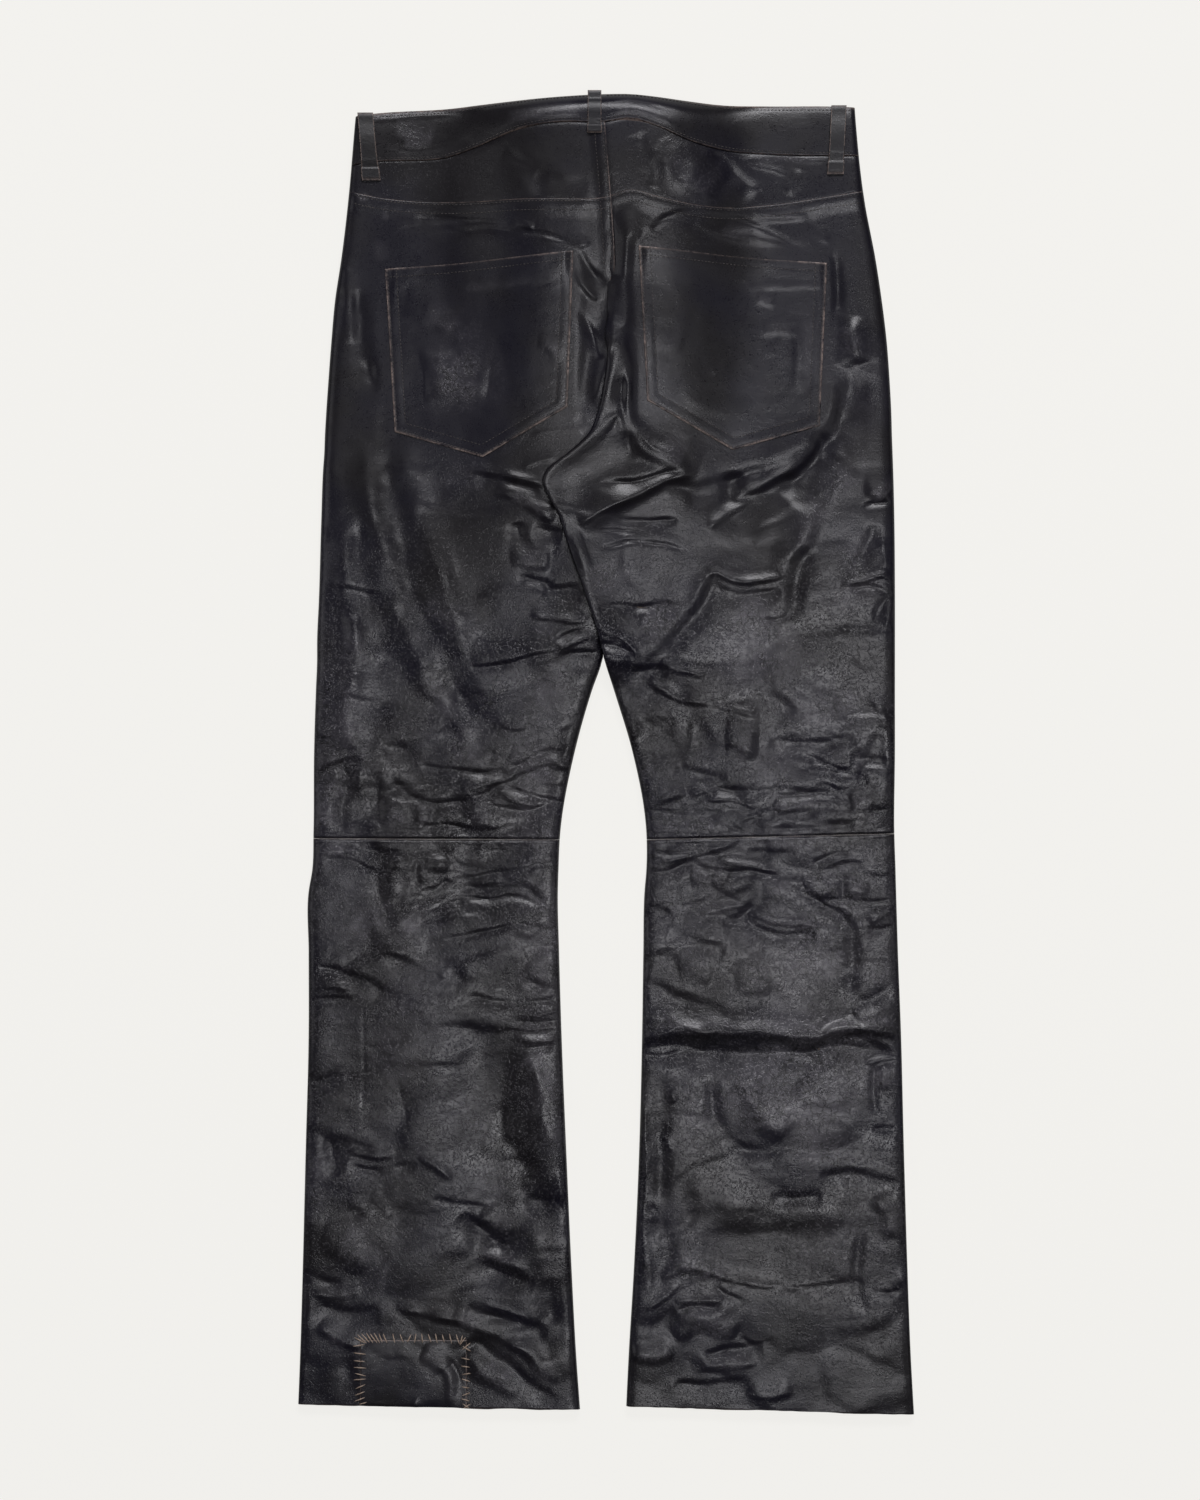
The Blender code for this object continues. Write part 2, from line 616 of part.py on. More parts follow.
def build_loops(leather, collection):
    """The belt loops: straps that bow off the band between their sewn ends."""
    for row in LOOPS:
        loop = dict(zip(LOOP_COLUMNS, row))
        t = np.linspace(0, 1, LOOP_ROWS)
        x = loop["foot_x"] + (loop["head_x"] - loop["foot_x"]) * t
        y = loop["foot_y"] + (loop["head_y"] - loop["foot_y"]) * t
        bow = LOOP_BOW * np.sin(math.pi * t)
        if loop["layer"] == "back":
            side = "left" if loop["head_x"] < 0 else "right"
            reach = np.minimum(y, waist(x, "top") - 1)
            z = back_face(side, x, reach)
            spread = np.gradient(z, y)
            normal = np.stack([0 * t, -spread, np.ones_like(t)], axis=-1)
        else:
            z = np.minimum(front_rest(x, y), FRONT_REST)
            normal = np.stack([0 * t, 0 * t, -np.ones_like(t)], axis=-1)
        normal /= np.linalg.norm(normal, axis=-1, keepdims=True)
        middle = np.stack([x, y, z], axis=-1) + normal * (LAID_ON_GAP + bow)[:, None]
        if loop["layer"] == "front":
            middle[:, 2] = FRONT_REST - SEAM_GAP - FRONT_LOOP_BOW * np.sin(math.pi * t)
        half = np.array([loop["width"] / 2, 0, 0])
        strip = np.stack([middle - half, middle, middle + half], axis=1)
        out = normal[:, None, :] * LOOP_WALL
        shell(loop["name"], strip + out, strip, leather, collection)


def build_button(metal, collection):
    """The waist button on the outside of the front band."""
    bpy.ops.mesh.primitive_cylinder_add(
        vertices=BUTTON_SIDES, radius=BUTTON_RADIUS * MM, depth=BUTTON_THICKNESS * MM,
        end_fill_type="TRIFAN",
    )
    button = bpy.context.object
    button.name = "waist_button"
    middle = float(front_top(0.0)) - BAND_WIDTH / 2
    height = FRONT_REST - SEAM_GAP - BUTTON_THICKNESS / 2
    button.location = (0, middle * MM, height * MM)
    bevel = button.modifiers.new("rounded rim", "BEVEL")
    bevel.width = BUTTON_RIM * MM
    bevel.segments = 1
    bevel.limit_method = "ANGLE"
    button.data.materials.append(metal)
    for old in button.users_collection:
        old.objects.unlink(button)
    collection.objects.link(button)


def make_material(name, colour, roughness, metallic):
    """A plain Principled material."""
    material = bpy.data.materials.new(name)
    material.use_nodes = True
    shader = material.node_tree.nodes["Principled BSDF"]
    shader.inputs["Base Color"].default_value = (*colour, 1)
    shader.inputs["Roughness"].default_value = roughness
    shader.inputs["Metallic"].default_value = metallic
    return material


def main():
    """Clears the scene and builds the trousers."""
    for old in list(bpy.data.objects):
        bpy.data.objects.remove(old)
    collection = bpy.data.collections.new("leather_trousers")
    bpy.context.scene.collection.children.link(collection)
    leather = make_material("black_leather", (0.022, 0.022, 0.025), 0.42, 0.0)
    metal = make_material("button_metal", (0.35, 0.33, 0.31), 0.35, 1.0)
    build_back(leather, collection)
    build_front(leather, collection)
    build_front_band(leather, collection)
    build_pockets(leather, collection)
    build_patch(leather, collection)
    build_loops(leather, collection)
    build_button(metal, collection)


main()
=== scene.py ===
"""Leather trousers laid flat on their front, waist towards +Y and the back facing up.

Each leather panel is a thin closed wall whose outer face is worked out as a height over the
floor: the broad form of the panels, the soft folds and creases laid along curves, and the
laps and stitched seams. Tables and shape functions work in millimetres, and the meshes
are made in metres in the frame's own place.
"""

import math
from functools import partial

import bpy
import numpy as np
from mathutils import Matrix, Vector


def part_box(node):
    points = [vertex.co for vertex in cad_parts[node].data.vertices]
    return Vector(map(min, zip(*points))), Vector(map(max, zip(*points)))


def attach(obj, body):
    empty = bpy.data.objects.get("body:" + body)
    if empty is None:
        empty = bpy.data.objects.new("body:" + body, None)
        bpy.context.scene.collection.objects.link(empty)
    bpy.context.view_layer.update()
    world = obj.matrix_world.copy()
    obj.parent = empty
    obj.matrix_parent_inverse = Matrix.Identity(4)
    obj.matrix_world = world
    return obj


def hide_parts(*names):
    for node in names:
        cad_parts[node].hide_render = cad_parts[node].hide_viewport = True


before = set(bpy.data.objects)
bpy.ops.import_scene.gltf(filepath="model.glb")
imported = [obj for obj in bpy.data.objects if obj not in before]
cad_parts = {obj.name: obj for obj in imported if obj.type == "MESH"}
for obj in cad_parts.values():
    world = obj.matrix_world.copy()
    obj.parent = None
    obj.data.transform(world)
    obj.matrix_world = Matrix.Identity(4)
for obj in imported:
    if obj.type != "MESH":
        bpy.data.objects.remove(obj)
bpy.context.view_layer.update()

bl_info = {
    "name": "Leather Trousers",
    "version": (1, 0, 0),
    "blender": (4, 5, 0),
    "location": "3D View > Sidebar > Trousers",
    "description": "Builds worn black leather trousers laid flat around a packed frame",
    "category": "Add Mesh",
}

MM = 0.001
QUARTER = math.pi / 2
SIDES = ("left", "right")
INWARD = {"left": 1.0, "right": -1.0}


def columns(names, rows):
    """The columns of a table by name."""
    return dict(zip(names.split(), np.array(rows, float).T))


# --- The broad form, as the frame has it ---

OUTLINE = columns("y left_out left_in right_in right_out loft seam fold", (
    (560, -205, -3, -3, 205, 13.0, 6.5, 8),
    (521, -208.5, -1, -1, 207.5, 13.0, 6.5, 8),
    (459, -214, 4, 4, 214.5, 13.5, 5.0, 11),
    (409, -220, 7, 7, 224, 14.0, 4.2, 14),
    (376, -225, 7, 7, 229, 14.0, 4.0, 15),
    (343, -228, 13, 3, 233, 14.0, 4.0, 16),
    (310, -230.5, 12, -1, 235.5, 14.0, 4.0, 16),
    (281, -232.5, 8, -7, 237, 14.0, 4.0, 16),
    (263, -233.5, 1, -15, 237.5, 14.0, 4.0, 16),
    (249, -234, -14, -30, 238, 14.0, 4.0, 16),
    (235, -235, -33, -48, 238.5, 14.0, 4.0, 16),
    (193, -236.5, -24, -38, 239.5, 14.0, 4.0, 16),
    (127, -238.5, -6, -16, 240, 14.0, 4.0, 16),
    (92, -240, -1, -5, 240, 13.5, 4.0, 16),
    (77, -240, -3.2, -1.2, 240, 13.5, 4.0, 16),
    (51, -241, -12, 7, 240, 13.0, 4.0, 16),
    (1, -242.5, -26, 22, 240, 12.5, 4.0, 16),
    (-66, -243, -38, 33.5, 239.5, 12.0, 4.0, 14),
    (-97, -244, -39.5, 33.5, 240.5, 12.0, 4.0, 14),
    (-115, -247, -40, 32, 241, 12.0, 4.0, 14),
    (-165, -247, -39, 31, 242.5, 12.0, 4.0, 14),
    (-232, -247, -37, 30, 245, 12.0, 4.0, 14),
    (-331, -249.5, -33, 27.5, 247.5, 12.0, 4.0, 14),
    (-431, -252, -28.5, 23, 250.5, 11.0, 4.0, 14),
    (-497, -254, -25, 19, 253, 10.5, 3.8, 13),
    (-560, -256.5, -20.5, 16, 256.5, 10.0, 3.6, 12),
))
WAIST = columns("x top band yoke", (
    (-215, 527, 487, 466),
    (-192, 530, 490, 461),
    (-129, 534, 494, 456),
    (-105, 537, 502, 456),
    (-71, 541, 515, 457),
    (-38, 544, 520, 457),
    (0, 546, 520, 458),
    (20, 546, 523, 464),
    (41, 544, 517, 459),
    (70, 540, 505, 453),
    (95, 537, 499, 451),
    (136, 536, 496, 454),
    (184, 536, 495, 461),
    (215, 535, 495, 466),
))
SEAT = columns("y share", (
    (60, 0.0), (130, 0.08), (200, 0.22), (300, 0.5),
    (380, 0.75), (450, 0.95), (520, 1.0), (560, 1.0),
))
SEAT_RISE = 23.0
SEAT_REACH = 100.0
SEAT_CENTRE = -5.0
MOUTH_HEIGHT = 11.5
BAND_TURN = math.radians(75)
BAND_FLAT = 2.4
SQUARE = 0.58
INNER_ROUND = 14.0
ROLL_ANGLE = math.radians(-60)
ROLL_DEPTH = 3.5
ROLL_CLEARANCE = 0.6
ROLL_LIFT = 8.0
ROLL_REACH = 32.0
LEFT_DIP = 3.5
CROSSING = 6.0
UNDERLAP = 10.0
MIDDLE_GAP = 0.15
# The heights between which the middle seam changes: the left back comes to lap the right one,
# with its raw edge and the leather under it; below that the right one crosses over the left,
# is lifted and curls round, and each inner edge goes from flat to rolled.
LAPPED, RAW_EDGE, UNDER = (386, 402), (388, 402), (390, 402)
CROSSED, UNCROSSED = (325, 352), (386, 396)
LIFTED, LOWERED = (50, 82), (330, 400)
CURLED, LEVEL = (50, 85), (50, 80)
FLAT = {"left": (385, 405), "right": (330, 385)}
LEFT_UP = (85, 150)
KNEE = {"left": (-71, -72), "right": (-67, -72)}
HEM = {"left": (-541, -545), "right": (-549, -543)}
SEAM_REACH = {"left": (-243.0, -38.0), "right": (240.0, 34.0)}
POCKETS = {
    "left": ((-183, 401), (-27, 414), (-32, 286), (-102, 245), (-175, 266)),
    "right": ((27, 418), (183, 406), (177, 271), (105, 251), (34, 291)),
}
PATCH = (-204.0, -115.5, -487.0)
FLY = ((-17, 17), (345, 464))

# The front.
BAND_WIDTH = 40.0
FRONT_DIP = 16.0
FRONT_REST = 2.8
FRONT_RAMP = 26.0
LOOP_FOOT = 16.0
FRONT_ROUND = 9.0
FRONT_HALF = 207.0
CLOSING_LAP = 22.0
CLOSING_STEP = 14.0
FORK = 77.0
FRONT_SHIFT = 2.2
SIDE_GAP = 0.4

# --- Folds and creases ---
# Height of the ridge (a trough's is below zero), its half width, and the points x,y of the curve
# that it follows.

FOLDS = (
    (3.2, 10, 16,452, 18,420, 15,385, 14,352, 6,322, -6,284), (2.4, 11, 16,345, 22,262, 74,234),
    (-2.6, 17, 0,480, 2,420, -1,385, -6,350, -16,312, -28,284),
    (-3.2, 24, -98,-215, -100,-300, -92,-380, -100,-450), (-1.8, 16, 80,-404, 130,-399, 205,-396),
    (3.5, 13, -20,186, 22,214, 70,236), (2.5, 12, -110,72, -52,82, -8,92),
    (1.5, 14, 30,100, 60,70, 100,48), (-2.0, 14, 206,305, 150,225, 84,204),
    (2.0, 14, 192,300, 165,250, 118,213),
    (4.6, 8, 26,-236, 70,-231, 122,-233, 180,-233, 214,-228, 250,-231),
    (-3.0, 8, 30,-249, 60,-243, 90,-249, 150,-249, 200,-245, 243,-252),
    (1.5, 15, -214,214, -206,110, -214,16), (1.5, 15, -152,184, -128,105, -82,22),
)

CREASES = (
    # Left of the seat, above and beside the pocket.
    (-1.1, 2.6, -158,443, -135,444, -110,441, -83,436),
    (-1.1, 2.6, -142,435, -110,433, -80,431, -52,428, -34,421, -24,411),
    (0.9, 2.6, -180,435, -165,439, -152,439), (1.0, 2.6, -76,436, -66,434, -60,432),
    (1.1, 3, -52,424, -38,419, -26,416, -14,419), (-1.6, 7, -84,496, -62,481, -48,464),
    (-1.3, 9, -58,478, -38,470, -16,466), (-1.6, 3.5, -26,416, -14,399, -2,384),
    (1.2, 3, -30,400, -18,385, -8,372), (-1.4, 4, -25,367, -12,347, -4,325),
    (-1.4, 7, -206,384, -201,340, -192,296), (1.1, 6, -214,402, -213,370, -212,338),
    # Right of the seat.
    (-1.5, 7, 26,512, 30,497, 32,478), (-1.0, 7, 44,494, 42,478, 40,464),
    (3.6, 15, 40,500, 56,484, 74,468, 90,458), (-2.6, 9, 88,500, 104,480, 126,464),
    (2.0, 9, 196,352, 206,340, 212,322), (1.6, 9, -226,420, -222,400, -224,380),
    (1.0, 3, 112,492, 150,494, 186,490), (0.9, 2.5, 118,488, 134,484, 150,476),
    (0.9, 5, 160,485, 156,472, 150,462), (-1.8, 4.5, 38,430, 46,440, 62,446, 90,444),
    (-1.6, 4.5, 84,445, 110,442, 132,432, 160,418, 186,407),
    (2.2, 6, 74,436, 100,430, 125,421, 150,413, 178,408), (1.1, 4, 122,443, 145,442, 168,446),
    (-1.8, 6, 170,448, 181,428, 189,404, 191,378, 190,345), (-1.2, 3.5, 5,444, 3,418, 3,388),
    (-1.2, 4, 32,432, 27,408, 24,382), (1.2, 9, 204,364, 202,340, 198,318),
    # The crotch, where the right back rolls over the left.
    (1.2, 2.8, 17,356, 4.7,336, -4.3,314, -9,290),
    (1.2, 4, 11,336, 17,331, 19,316, 19,298, 22,282, 27,266, 36,255, 47,249, 68,242),
    (-1.8, 4, 9,326, 11,307, 15,278, 18,260, 22,242),
    (1.1, 3, -9,258, 1,269, 7,278, 12,276, 15,262), (-1.7, 4, -4,222, 20,224, 42,228, 64,235),
    (1.7, 4, -22,188, -6,198, 24,211, 50,223, 76,235), (-1.2, 3, 10,193, 34,192, 60,193),
    (-0.9, 1.6, -4,171, 20,174, 45,173, 66,168), (-0.7, 1.6, -4,184, 10,184, 26,183),
    (1.4, 3.5, -24,190, -22,165, -14,142), (-1.4, 3, -8,122, 10,123, 30,121, 52,124),
    (1.7, 2.8, -9,107, 2,100, 14,96, 22,88, 28,80), (-1.8, 3.6, -7,92, 8,89, 26,84),
    (1.3, 4, 4,74, 12,76, 22,80), (-1.6, 5, 14,70, 32,70, 52,70),
    # Right thigh.
    (-2.6, 10, 170,256, 148,239, 120,228, 88,223, 50,216),
    (-3.2, 12, 212,316, 198,287, 182,260, 168,236, 148,210),
    (1.8, 6, 180,262, 158,240, 132,222, 104,211), (1.0, 4, 118,206, 100,198, 84,185),
    (1.9, 11, 208,238, 186,214, 170,190, 158,170, 144,150),
    (2.0, 3.6, 152,150, 138,145, 122,141, 106,141, 98,144, 90,148, 82,144),
    (1.6, 5, 84,146, 76,134, 70,116), (-1.5, 5, 90,134, 118,131, 146,136),
    (-1.6, 7, 164,172, 158,140, 152,104), (-2.2, 8, 90,144, 76,122, 58,96, 34,72),
    (-0.9, 2, 128,112, 142,110, 156,116), (1.4, 3.6, 46,77, 60,69, 84,63),
    (1.8, 3.6, 36,60, 50,50, 64,44, 88,41), (1.0, 4, 86,41, 104,38, 126,29),
    (-1.6, 2.2, 212,205, 224,207, 238,207), (1.6, 6, 214,216, 226,214, 236,214),
    (1.5, 3, 196,138, 214,142, 228,146, 238,138), (-1.3, 3, 204,136, 220,138, 238,128),
    (-1.3, 4, 236,132, 228,122, 221,108), (1.3, 3, 238,126, 234,113, 230,102),
    (1.2, 3, 228,178, 231,164, 232,152), (-1.2, 6, 222,190, 214,168, 204,148),
    (-1.8, 16, 22,22, 44,20, 70,17), (1.4, 3.4, 8,57, 15,36, 23,12), (1.8, 12, 98,6, 112,5, 127,4),
    (-1.5, 7, 58,-12, 78,-18, 100,-20), (1.4, 5, 216,50, 229,34, 234,14, 235,-6),
    (-1.3, 5, 136,11, 168,8, 206,15), (-1.4, 3.5, 162,-4, 188,-11, 218,-23),
    (-1.3, 9, 204,-2, 218,-5, 234,-8), (-1.9, 5, 84,-28, 120,-31, 160,-31, 210,-38),
    (1.4, 4, 70,-37, 80,-31, 90,-35), (1.3, 5, 42,-41, 54,-36, 66,-33),
    (1.8, 3, 82,-40, 98,-38, 110,-41, 124,-48), (-1.9, 7, 142,-40, 122,-50, 102,-61),
    (1.8, 6, 124,-52, 148,-46, 184,-44), (1.5, 3, 102,-61, 116,-55, 132,-50),
    (1.3, 6, 202,-45, 212,-43, 222,-45), (1.1, 2.5, 105,-58, 111,-63, 120,-68),
    (-1.8, 6, 112,-63, 165,-63, 224,-58), (-1.2, 4, 34,-57, 60,-58, 94,-55),
    (-0.9, 2.5, 34,-47, 66,-50, 104,-48), (1.4, 4, 34,-64, 62,-63, 96,-62),
    # Left thigh.
    (1.1, 3, -62,263, -42,267, -18,268), (-1.2, 3, -42,274, -30,276, -18,277),
    (1.5, 4, -114,236, -90,231, -66,225, -48,220), (-1.4, 4, -108,229, -82,223, -54,215),
    (0.9, 3, -68,237, -56,240, -42,241), (1.8, 6, -92,217, -68,207, -42,193),
    (-1.6, 6, -74,190, -71,178, -60,164), (-1.3, 6, -60,187, -48,184, -36,182),
    (1.4, 7, -80,157, -62,157, -46,156), (-1.4, 4, -74,147, -58,144, -44,142),
    (-1.5, 6, -52,138, -36,136, -20,138), (1.6, 3.2, -62,113, -36,110, -12,110),
    (-1.6, 3, -42,92, -28,101, -11,104), (1.5, 2.8, -40,85, -26,92, -8,99),
    (-1.5, 2.8, -40,80, -22,84, -5,83), (-1.6, 3, -112,69, -84,73, -60,80, -40,83),
    (1.8, 9, -216,196, -218,160, -214,124, -207,96, -207,70), (1.5, 9, -208,78, -214,44, -213,2),
    (-0.8, 8, -206,196, -202,140, -194,84),
    (1.8, 11, -204,262, -196,218, -186,178, -177,128, -158,82, -150,60, -138,42),
    (-0.9, 9, -188,250, -174,190, -160,130, -140,88),
    (1.6, 11, -170,262, -154,194, -134,146, -122,104, -112,78),
    (-1.3, 7, -132,64, -112,38, -86,22), (1.3, 7, -140,54, -126,28, -110,10),
    (1.1, 3, -94,26, -80,22, -66,22), (-1.3, 3, -21,32, -30,25, -41,18),
    (1.2, 3, -28,14, -30,6, -34,-4), (-1.6, 3.6, -154,-9, -130,-14, -106,-17, -74,-14),
    (-1.5, 5, -80,-14, -52,-1, -26,0), (2.0, 4, -84,-20, -62,-11, -44,-8, -28,-13),
    (-1.8, 3.6, -178,-23, -160,-37, -136,-41, -106,-36, -88,-28),
    (-1.8, 2.6, -84,-27, -66,-33, -50,-37, -34,-41), (1.7, 4, -120,-33, -98,-26, -72,-19),
    (1.5, 3.6, -88,-33, -74,-41, -58,-45), (-1.4, 3, -118,-42, -84,-46, -66,-48, -42,-40),
    (1.6, 3, -198,-64, -176,-60, -146,-62), (-1.7, 3, -156,-61, -134,-59, -112,-63, -92,-65),
    (1.4, 5, -188,-53, -175,-54, -163,-53), (1.4, 5, -160,-54, -153,-54, -146,-54),
    (-1.0, 1.6, -100,-46, -110,-52, -112,-60), (1.2, 5, -108,-60, -103,-60, -96,-60),
    (-1.4, 4, -242,-21, -226,-10, -204,-5), (1.7, 6, -225,-12, -229,-40, -230,-70),
    (1.4, 5, -206,-12, -205,-24, -204,-38), (-1.2, 4, -216,-12, -217,-40, -218,-68),
    (-1.2, 4, -192,-16, -190,-36, -187,-60), (1.2, 5, -236,4, -234,-4, -230,-12),
    (1.3, 5, -58,-68, -50,-67, -42,-67),
    # Left shin.
    (-1.3, 3, -206,-79, -165,-81, -126,-80), (1.1, 4, -238,-83, -220,-83, -203,-82),
    (1.0, 2, -168,-88, -146,-89, -126,-90), (-1.4, 2.6, -234,-89, -212,-90, -188,-98),
    (-1.3, 3, -156,-89, -156,-100, -153,-112), (-1.6, 6, -187,-94, -186,-118, -176,-152),
    (1.1, 5, -178,-93, -168,-94, -158,-94), (1.1, 5, -150,-94, -140,-95, -130,-95),
    (-1.1, 3.5, -130,-104, -140,-113, -154,-115), (-1.4, 3, -126,-104, -98,-101, -74,-95, -42,-86),
    (1.2, 2, -74,-94, -58,-91, -40,-88), (-1.6, 2.6, -126,-122, -100,-120, -76,-119, -54,-125),
    (1.2, 2.6, -154,-130, -140,-126, -126,-120),
    (-1.2, 2.6, -134,-153, -104,-148, -78,-143, -52,-143), (-1.4, 4, -90,-101, -68,-110, -50,-126),
    (-2.2, 5, -244,-177, -222,-181, -200,-190, -184,-200, -172,-208),
    (1.4, 5, -186,-163, -160,-173, -130,-187), (-1.4, 3, -244,-205, -228,-203, -212,-203),
    (1.4, 4, -238,-194, -226,-192, -214,-196), (-1.4, 4, -68,-186, -54,-192, -38,-197),
    (-1.6, 4, -116,-201, -84,-206, -58,-206, -40,-201),
    (-0.3, 1.5, -202,-208, -201,-255, -201,-304), (-0.3, 1.6, -172,-272, -166,-298, -161,-326),
    (-0.3, 1.5, -200,-243, -188,-244, -174,-242), (2.4, 8, -76,-240, -58,-264, -50,-300, -42,-346),
    (-3.0, 12, -88,-246, -80,-290, -68,-340, -44,-382), (-2.0, 10, -62,-352, -50,-385, -46,-420),
    (1.6, 2.4, -39,-346, -34,-374, -31,-400, -34,-438), (1.2, 2.4, -78,-217, -60,-218, -40,-213),
    (-1.3, 2.4, -80,-223, -58,-223, -38,-220), (-1.3, 2.4, -90,-229, -62,-232, -40,-229),
    (1.5, 3, -78,-237, -60,-239, -40,-238), (-1.3, 2.6, -76,-245, -58,-244, -42,-241),
    (-1.6, 5, -248,-268, -236,-273, -220,-267),
    (-1.8, 7, -250,-314, -236,-318, -226,-334, -222,-352),
    (-1.4, 6, -236,-322, -214,-324, -192,-330), (1.5, 4, -214,-331, -196,-333, -176,-336),
    (-1.2, 4, -214,-342, -190,-345, -158,-342), (1.4, 4, -156,-338, -142,-344, -128,-353),
    (-1.4, 3.6, -144,-370, -120,-374, -94,-377), (1.4, 6, -104,-384, -92,-391, -76,-400),
    (-2.2, 7, -120,-383, -102,-396, -80,-414), (2.2, 5, -110,-411, -92,-420, -66,-432),
    (-2.2, 6, -112,-422, -88,-432, -60,-442), (1.8, 14, -238,-404, -212,-415, -184,-432),
    (-2.0, 6, -252,-430, -238,-437, -220,-442), (1.8, 5, -244,-447, -226,-450, -204,-447),
    (-2.2, 8, -244,-457, -216,-464, -186,-462), (1.4, 4, -174,-460, -144,-467, -116,-475),
    (2.2, 6, -128,-470, -106,-479, -84,-488, -62,-500, -52,-513, -34,-521),
    (-2.0, 8, -116,-462, -86,-471, -48,-481), (-2.6, 10, -50,-436, -47,-470, -46,-504),
    (-2.2, 6, -114,-487, -90,-500, -68,-519, -38,-538), (2.0, 9, -116,-498, -100,-514, -72,-531),
    (0.8, 1.2, -102,-457, -82,-464, -66,-470), (1.5, 5, -240,-474, -224,-485, -204,-494),
    (-2.0, 14, -250,-510, -230,-512, -208,-508), (1.1, 5, -214,-374, -204,-376, -196,-384),
    (1.1, 5, -196,-370, -186,-376, -180,-386),
    # Right shin.
    (1.6, 3.4, 112,-73, 92,-79, 66,-86, 42,-91),
    (-1.9, 3.6, 70,-87, 80,-94, 104,-98, 134,-101, 162,-106), (1.4, 3, 92,-87, 118,-95, 146,-101),
    (-1.8, 3.6, 158,-104, 165,-114, 178,-125, 196,-133),
    (-2.5, 6, 192,-130, 204,-146, 205,-170, 203,-200), (-1.6, 4, 32,-98, 50,-98, 72,-86),
    (-1.1, 2.4, 36,-82, 62,-82, 92,-80), (-1.0, 3, 118,-82, 140,-83, 156,-83),
    (-1.1, 3, 170,-92, 190,-85, 214,-84), (1.4, 4, 176,-98, 196,-90, 216,-86),
    (1.3, 6, 70,-104, 78,-104, 86,-106), (1.3, 5, 90,-110, 94,-106, 101,-108),
    (-1.4, 3, 84,-109, 100,-119, 122,-128), (1.5, 4, 78,-135, 100,-129, 120,-125),
    (-1.9, 6, 96,-142, 116,-134, 132,-108), (1.6, 3, 116,-134, 150,-141, 180,-146),
    (-1.6, 3, 118,-143, 146,-149, 176,-151), (-1.5, 3, 197,-102, 197,-112, 197,-123),
    (1.5, 6, 199,-114, 208,-113, 219,-114), (1.4, 6, 160,-114, 176,-117, 192,-112),
    (-1.2, 2, 176,-122, 208,-122, 238,-123), (1.6, 4, 219,-140, 228,-134, 238,-130),
    (-1.4, 4, 217,-146, 228,-145, 239,-143), (1.2, 4, 36,-124, 52,-128, 62,-140),
    (-1.2, 4, 34,-128, 44,-126, 52,-124), (-1.6, 7, 54,-148, 75,-157, 100,-163),
    (-1.6, 8, 32,-188, 60,-201, 104,-217), (-1.6, 8, 240,-192, 222,-204, 200,-217),
    (1.2, 10, 62,-184, 75,-181, 90,-184), (1.2, 8, 108,-194, 122,-194, 138,-196),
    (1.4, 5, 32,-221, 46,-219, 62,-224), (-1.6, 3, 33,-224, 41,-226, 49,-224),
    (1.3, 3, 32,-233, 42,-237, 50,-233, 60,-226, 70,-228, 84,-235, 96,-238, 106,-235),
    (1.3, 3, 98,-238, 108,-234, 118,-231, 138,-232, 154,-236, 170,-240, 180,-236, 190,-229),
    (1.3, 3, 182,-234, 192,-229, 206,-228, 220,-231, 240,-233),
    (-2.0, 5, 52,-236, 66,-235, 84,-243, 110,-245, 140,-241, 168,-246, 196,-238),
    (-2.0, 5, 190,-240, 206,-236, 222,-242, 244,-250), (-1.6, 4, 32,-250, 46,-252, 64,-247),
    (1.3, 2.6, 214,-257, 230,-254, 245,-252), (-1.5, 5, 172,-233, 190,-221, 218,-211),
    (1.7, 6, 206,-219, 222,-216, 238,-208), (-1.9, 4, 223,-258, 222,-278, 224,-302),
    (1.5, 5, 231,-260, 231,-270, 231,-280), (-1.2, 2.6, 220,-312, 230,-312, 240,-312),
    (-1.9, 7, 86,-264, 90,-298, 106,-324, 146,-336), (2.2, 16, 114,-270, 128,-298, 150,-318),
    (1.8, 18, 160,-272, 184,-296, 196,-326), (-1.9, 7, 178,-353, 205,-348, 244,-358),
    (-1.6, 5, 136,-366, 158,-369, 180,-366), (1.6, 7, 222,-368, 234,-384, 236,-402),
    (1.2, 2.2, 31,-256, 32,-300, 32,-340, 31,-376), (1.4, 4, 30,-372, 32,-415, 36,-450),
    (-1.9, 8, 45,-262, 45,-330, 47,-390, 48,-444), (1.1, 3, 52,-280, 54,-284, 56,-289),
    (1.2, 3, 46,-317, 51,-320, 52,-330), (1.5, 2.6, 37,-380, 39,-384, 40,-389),
    (-1.6, 3, 35,-375, 40,-377, 43,-382), (1.6, 5, 48,-438, 66,-429, 90,-431),
    (1.6, 4, 82,-428, 104,-435, 130,-441, 150,-441), (0.9, 2.2, 144,-442, 170,-440, 204,-437),
    (1.5, 3.4, 33,-462, 45,-456, 64,-441), (1.2, 2.6, 58,-455, 78,-455, 98,-453),
    (-1.4, 3, 60,-462, 75,-459, 96,-459), (-1.0, 3, 92,-440, 100,-447, 114,-453),
    (-2.5, 10, 24,-472, 42,-476, 60,-462), (2.2, 9, 58,-486, 80,-473, 108,-482),
    (2.2, 6, 20,-498, 38,-501, 58,-496), (-2.0, 6, 82,-502, 105,-495, 130,-491),
    (-0.9, 1.8, 112,-483, 122,-489, 138,-488), (1.5, 5, 72,-512, 100,-509, 126,-505),
    (-1.4, 5, 56,-522, 86,-525, 116,-521), (1.3, 6, 116,-532, 134,-535, 154,-531),
    (-1.5, 5, 211,-392, 208,-430, 213,-474), (-1.1, 3, 219,-447, 232,-448, 244,-445),
)
